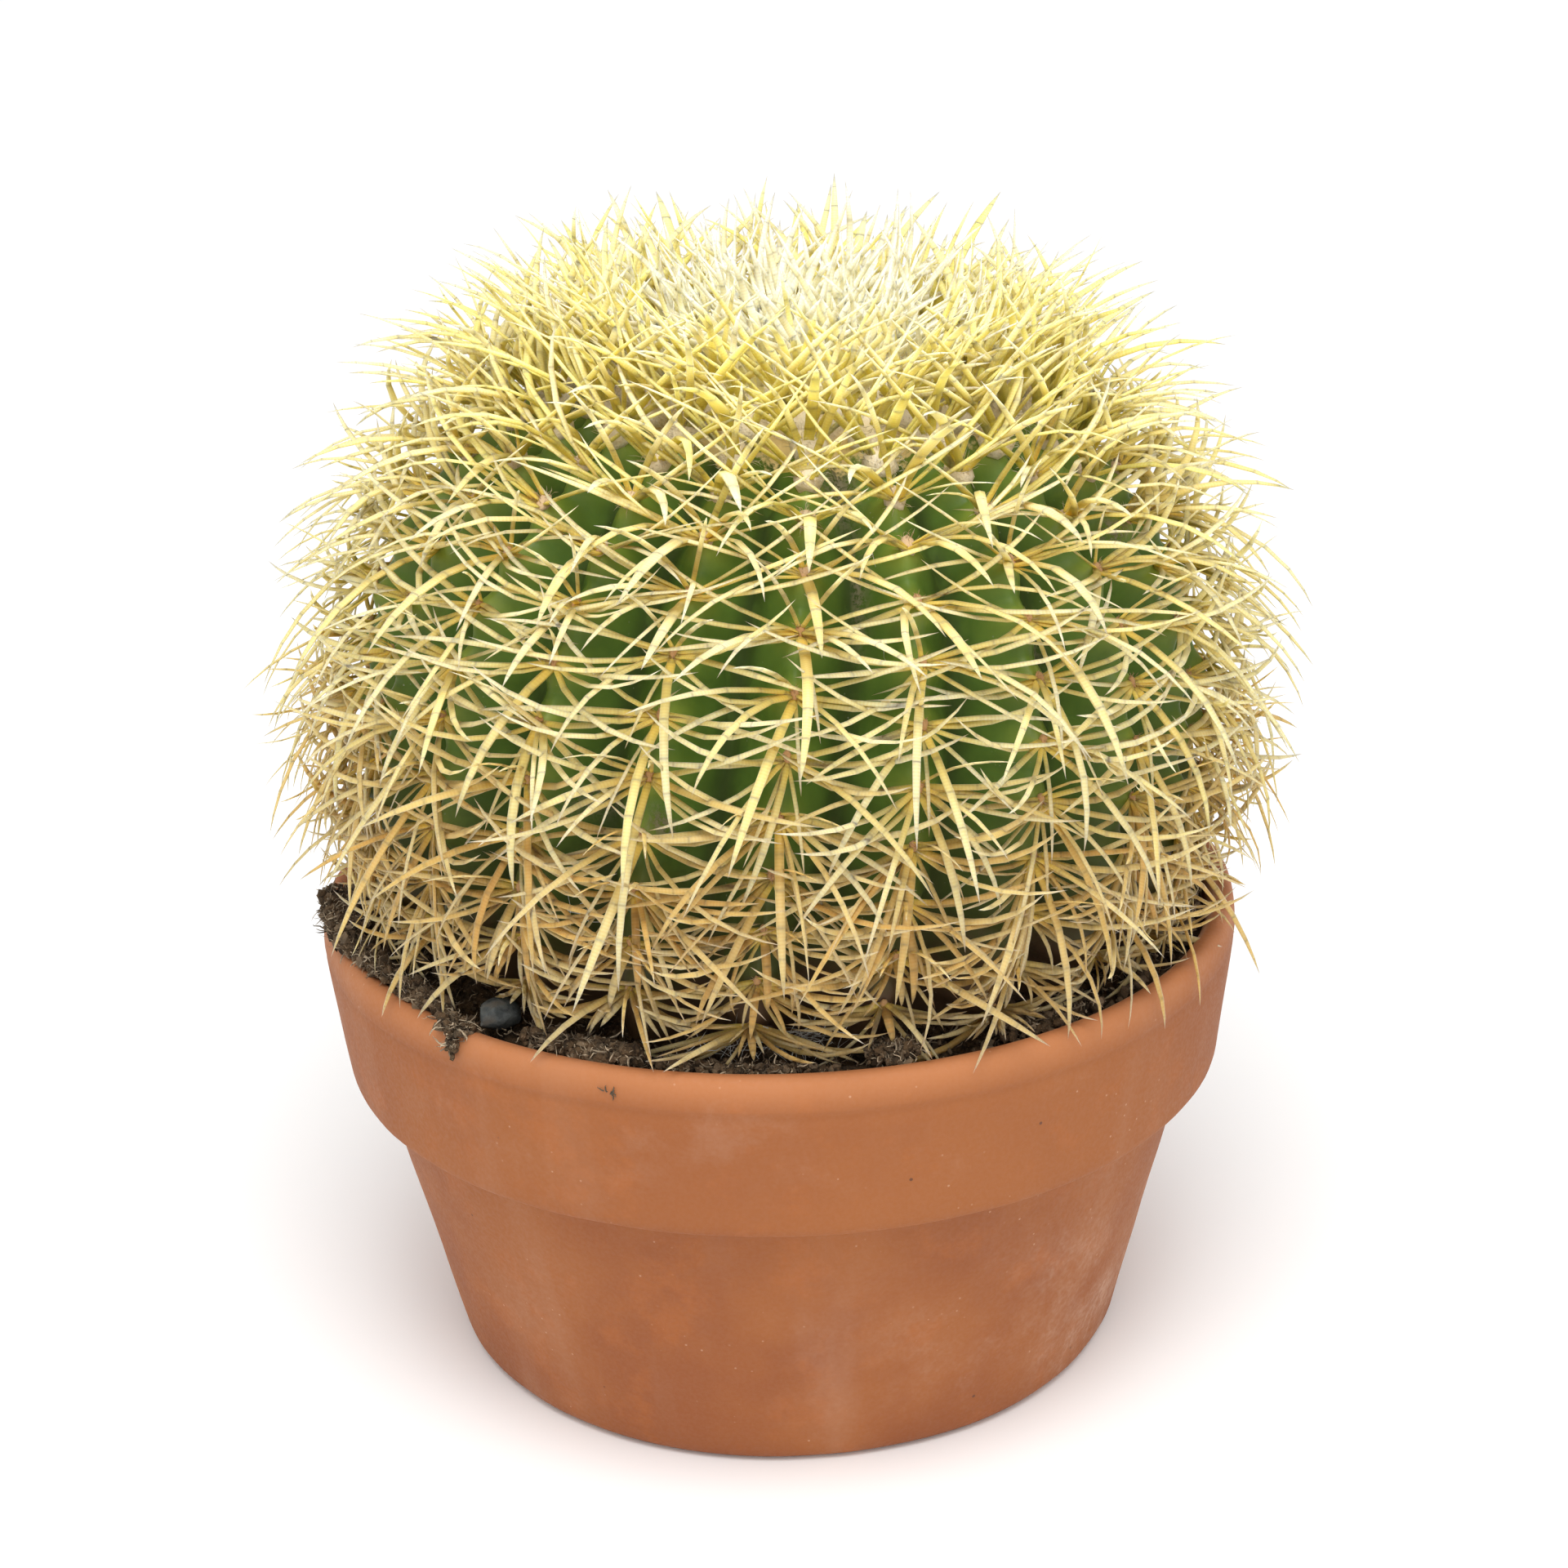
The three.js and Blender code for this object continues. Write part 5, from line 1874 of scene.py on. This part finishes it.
@dataclass(frozen=True)
class Crown:
    """The woolly top, with its thick tuft of upright young spines."""

    form: PlantForm
    radius: float = 0.051
    edge: float = 0.112
    top: float = 0.1235
    floor: float = 0.1033
    hairs: int = 2600
    spines: int = 360
    seed: int = 21
    reach_height: float = 0.3975
    golden_angle: float = math.pi * (3 - math.sqrt(5))
    puff_height: float = 0.0018
    skirt: float = 0.3
    middle_length: float = 0.042
    edge_length: float = 0.058

    def dome(self, radius: Points) -> Points:
        """The height of the wool at a radius."""
        share = np.clip(radius / self.radius, 0, 1)
        return self.edge + (self.top - self.edge) * np.sqrt(1 - share * share)

    def wool(self, felt: bpy.types.Material, rng: np.random.Generator) -> None:
        """Mould the woolly dome.

        Args:
            felt: The wool's material.
            rng: The source of its random differences.
        """
        bm = bmesh.new()
        bmesh.ops.create_uvsphere(bm, u_segments=72, v_segments=36, radius=1.0)
        mesh = mesh_from("crown_wool", bm)
        ball = places_of(mesh)
        flat = np.hypot(ball[:, 0], ball[:, 1])
        up = ball[:, 2] > 0
        places = ball * self.radius
        places[:, 2] = np.where(up, self.dome(flat * self.radius), self.floor)
        side = ~up & (ball[:, 2] > -self.skirt)
        places[side, 2] = self.edge + (self.floor - self.edge) * (-ball[side, 2] / self.skirt)
        across = np.hypot(places[side, 0], places[side, 1])
        places[side, :2] *= (self.radius / np.maximum(across, 1e-6))[:, None]
        for index in np.flatnonzero(up & (flat < 0.99)):
            places[index, 2] += self.puff_height * noise.noise(Vector(places[index]) * 170)
        move_to(mesh, self.form.stand(places))
        mark(mesh, "tone", rng.uniform(0.2, 1.0, len(mesh.vertices)))
        mark(mesh, "age", np.full(len(mesh.vertices), 0.12))
        piece_from(mesh, felt, "crown")

    def on_dome(self, radius: float, angle: float, sunk: float) -> Points:
        """A place on the wool, in the pot's frame.

        Args:
            radius: How far it is from the crown's middle.
            angle: Its direction from there.
            sunk: How deep it lies in the wool.

        Returns:
            The place.
        """
        level = float(self.dome(radius)) - sunk
        return self.form.stand(np.array([radius * math.cos(angle), radius * math.sin(angle), level]))

    def hair(self, felt: bpy.types.Material, rng: np.random.Generator) -> None:
        """Cover the wool with curly hair.

        Args:
            felt: The wool's material.
            rng: The source of its random differences.
        """
        rows = []
        for _ in range(self.hairs):
            radius = self.radius * 1.05 * math.sqrt(rng.random())
            angle = rng.uniform(-math.pi, math.pi)
            heading = rng.normal(0, 0.75, 3) + np.array([0.4 * math.cos(angle), 0.4 * math.sin(angle), 1.0])
            rows.append({
                "root": self.on_dome(radius, angle, 0.0008),
                "heading": unit(self.form.face(heading)[None])[0],
                **tangled(rng, 0.8, 2.8),
                "length": rng.uniform(0.005, 0.011), "width": 0.00012,
                "tone": rng.random(), "age": 0.05, "curl": rng.uniform(0.0003, 0.0009),
            })
        piece_from(Strands.gathered(rows).mesh("crown_hair", HAIR_SHAPE), felt)

    def young_spines(self, horn: bpy.types.Material, rng: np.random.Generator) -> None:
        """Plant the upright young spines in an even spiral.

        Args:
            horn: The spines' material.
            rng: The source of its random differences.
        """
        rows = []
        for number in range(self.spines):
            share = math.sqrt((number + 0.5) / self.spines)
            angle = number * self.golden_angle
            splay = 0.08 + 0.70 * share + rng.normal(0, 0.30)
            aside = rng.normal(0, 0.40)
            across, right = compass(angle)
            heading = np.array([0.0, 0.0, 1.0]) + across * splay + right * aside
            inward = across * rng.normal(0.2, 0.8) + right * rng.normal(0, 0.8)
            length = self.middle_length + (self.edge_length - self.middle_length) * share
            rows.append({
                "root": self.on_dome(self.radius * share, angle, 0.003),
                "heading": unit(self.form.face(heading)[None])[0],
                "bend": self.form.face(inward), "face": self.form.face(across),
                "turn": math.radians(rng.uniform(12, 70)), "length": length * rng.uniform(0.65, 1.15),
                "width": 0.5 * rng.uniform(0.0018, 0.0034), "flat": rng.uniform(0.22, 0.40),
                "tone": rng.random(),
                "age": 0.34 * share ** 5 - 0.30 + rng.normal(0, 0.04 + 0.08 * share),
            })
        strands = Strands.gathered(rows)
        for _ in range(16):
            tips, _ = strands.line(np.array([1.0]))
            high = tips[:, 0, 2] > self.reach_height
            strands.length[high] *= 0.97
        piece_from(strands.mesh("crown_spines", SPINE_SHAPE), horn)

    def build(self, horn: bpy.types.Material, wool: bpy.types.Material) -> None:
        """Build the wool, its hair and its spines.

        Args:
            horn: The spines' material.
            wool: The wool's material.
        """
        rng = np.random.default_rng(self.seed)
        self.wool(wool, rng)
        self.hair(wool, rng)
        self.young_spines(horn, rng)


@dataclass(frozen=True)
class Web:
    """A wisp of old cobweb: its middle, how far it spreads along X, Y and Z, and how many threads it has."""

    middle: tuple[float, float, float]
    spread: tuple[float, float, float]
    threads: int


@dataclass(frozen=True)
class Webs:
    """The wisps of cobweb among the spines and on the soil."""

    form: PlantForm
    seed: int = 17
    length: float = 0.013
    thickness: float = 0.00016
    wisps: tuple[Web, ...] = (
        Web((0.006, -0.1330, 0.1640), (0.011, 0.004, 0.0035), 46),
        Web((-0.018, -0.1345, 0.1625), (0.010, 0.003, 0.0025), 18),
        Web((0.104, -0.0930, 0.1900), (0.008, 0.008, 0.0100), 16),
        Web((-0.060, -0.1260, 0.2080), (0.010, 0.004, 0.0100), 10),
    )
    scratch_rib: float = 0.56
    scratches: int = 9

    def build(self, silk: bpy.types.Material) -> None:
        """Hang the threads of every wisp, and the few that run down one valley of the plant.

        Args:
            silk: The threads' material.
        """
        rng = np.random.default_rng(self.seed)
        rows = []
        for wisp in self.wisps:
            for _ in range(wisp.threads):
                drift = rng.normal(0, 0.6, 3) * np.array(wisp.spread)
                rows.append(self.thread(np.array(wisp.middle) + drift, rng))
        for distance in np.linspace(0.090, 0.135, self.scratches):
            angle = self.form.rib_angle(self.scratch_rib, self.form.height_at(distance))
            place, out, down, _ = self.form.frame(distance, angle)
            depth = float(self.form.valley_depth(distance)[()]) * 0.8
            row = self.thread(self.form.stand(place - out * depth)[0], rng)
            row["heading"] = unit(self.form.face(down)[0][None] + rng.normal(0, 0.25, (1, 3)))[0]
            rows.append(row)
        piece_from(Strands.gathered(rows).mesh("cobweb", HAIR_SHAPE), silk)

    def thread(self, middle: Points, rng: np.random.Generator) -> dict:
        """Describe one thread round a place.

        Args:
            middle: The place.
            rng: The source of its random differences.

        Returns:
            One row for Strands.
        """
        heading = unit(rng.normal(0, 1, (1, 3)) * np.array([[1.0, 0.5, 0.6]]))[0]
        length = self.length * rng.uniform(0.4, 1.5)
        return {
            "root": middle - heading * length / 2, "heading": heading, **tangled(rng, 0.1, 1.3),
            "length": length,
            "width": self.thickness * rng.uniform(0.5, 1.2), "tone": rng.random(),
            "curl": rng.uniform(0.0, 0.0009),
        }


@dataclass(frozen=True)
class SoftSun:
    """One broad even light.

    Attributes:
        side: The direction that it comes from, in degrees from the front, to the right.
        height: Its height above the horizon, in degrees.
        spread: How wide it looks, in degrees.
        power: Its power on a square metre that faces it.
    """

    side: float
    height: float
    spread: float
    power: float


@dataclass(frozen=True)
class Softbox:
    """The square softbox over the object: its place, what it aims at, its size and its power."""

    place: tuple[float, float, float] = (0.0, -0.40, 0.84)
    aim: tuple[float, float, float] = (0.0, 0.0, 0.36)
    size: float = 0.45
    power: float = 4.0


@dataclass(frozen=True)
class Studio:
    """The pale floor, the soft lights and the camera at the photograph's angle."""

    floor_size: float = 80.0
    floor_colour: Colour = (0.975, 0.975, 0.97)
    floor_shade: Colour = (0.8, 0.8, 0.79)
    sky: float = 0.79
    lens: float = 65.72
    sensor: float = 36.0
    distance: float = 1.0
    elevation: float = 21.317
    roll: float = -1.404
    aim: tuple[float, float, float] = (0.002546, 0.0, 0.197223)
    suns: tuple[SoftSun, ...] = (
        SoftSun(4.0, 26.0, 60.0, 0.47),
        SoftSun(10.0, 82.0, 60.0, 0.63),
    )
    box: Softbox = Softbox()

    def floor(self) -> None:
        """Lay the floor."""
        sheet = NodeSheet("studio_floor")
        shade = sheet.ranged(sheet.noise(3.0), 0.2, 0.8, 0.0, 0.02)
        colour = sheet.mixed(shade, self.floor_colour, self.floor_shade)
        bm = bmesh.new()
        bmesh.ops.create_grid(bm, x_segments=2, y_segments=2, size=self.floor_size / 2)
        mesh = bpy.data.meshes.new("studio_floor")
        bm.to_mesh(mesh)
        bm.free()
        mesh.materials.append(sheet.finish(colour, 0.9, Specular_IOR_Level=0.1))
        floor = bpy.data.objects.new("studio_floor", mesh)
        bpy.context.scene.collection.objects.link(floor)

    def light(self) -> None:
        """Light the scene with a white sky and the soft suns."""
        world = bpy.data.worlds.new("studio_sky")
        bpy.context.scene.world = world
        world.use_nodes = True
        backdrop = world.node_tree.nodes["Background"]
        backdrop.inputs["Color"].default_value = (1.0, 1.0, 1.0, 1.0)
        backdrop.inputs["Strength"].default_value = self.sky
        for number, sun in enumerate(self.suns):
            side, height = math.radians(sun.side), math.radians(sun.height)
            flat = Vector((math.sin(side), -math.cos(side), 0.0)) * math.cos(height)
            towards = flat + Vector((0.0, 0.0, math.sin(height)))
            lamp = self.lamp(f"soft_sun_{number}", "SUN", sun.power, towards)
            lamp.angle = math.radians(sun.spread)
        place = Vector(self.box.place)
        lamp = self.lamp("softbox", "AREA", self.box.power, place - Vector(self.box.aim), place)
        lamp.size = self.box.size

    def lamp(
        self, name: str, kind: str, power: float, towards: Vector, place: Vector = Vector(),
    ) -> bpy.types.Light:
        """Hang one lamp.

        Args:
            name: What it is called.
            kind: Blender's name for its kind.
            power: Its power.
            towards: The direction from what it lights to the lamp.
            place: Where it hangs, which matters to a near lamp only.

        Returns:
            The lamp's settings.
        """
        lamp = bpy.data.lights.new(name, kind)
        lamp.energy = power
        holder = bpy.data.objects.new(name, lamp)
        holder.location = place
        holder.rotation_euler = towards.to_track_quat("Z", "Y").to_euler()
        bpy.context.scene.collection.objects.link(holder)
        return lamp

    def camera(self) -> None:
        """Set the camera."""
        rise = math.radians(self.elevation)
        roll = math.radians(self.roll)
        back = Vector((0.0, -math.cos(rise), math.sin(rise)))
        right = Vector((1.0, 0.0, 0.0))
        up = back.cross(right)
        across = right * math.cos(roll) + up * math.sin(roll)
        upright = up * math.cos(roll) - right * math.sin(roll)
        data = bpy.data.cameras.new("camera")
        data.lens = self.lens
        data.sensor_width = self.sensor
        data.clip_end = 100.0
        camera = bpy.data.objects.new("camera", data)
        turn = Matrix((across, upright, back)).transposed().to_4x4()
        camera.matrix_world = Matrix.Translation(Vector(self.aim) + back * self.distance) @ turn
        bpy.context.scene.collection.objects.link(camera)
        bpy.context.scene.camera = camera

    def build(self) -> None:
        """Set up the floor, the lights and the camera."""
        self.floor()
        self.light()
        self.camera()
        bpy.context.scene.view_settings.view_transform = "Standard"


def main() -> None:
    """Build the potted cactus and its studio."""
    logging.basicConfig(level=logging.INFO, format="%(message)s")
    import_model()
    form = PlantForm()
    pot_form = PotForm()
    Pot(pot_form).build(Terracotta())
    Soil(pot_form).build(Peat())
    Pebble().build(Bluestone())
    Body(form).build(CactusSkin())
    horn = SpineHorn().material()
    wool = Wool().material()
    SpineCoat(form, pot_form, Pebble.place).build(horn, wool)
    Crown(form).build(horn, wool)
    Webs(form).build(Cobweb().material())
    Studio().build()


if __name__ == "__main__":
    main()
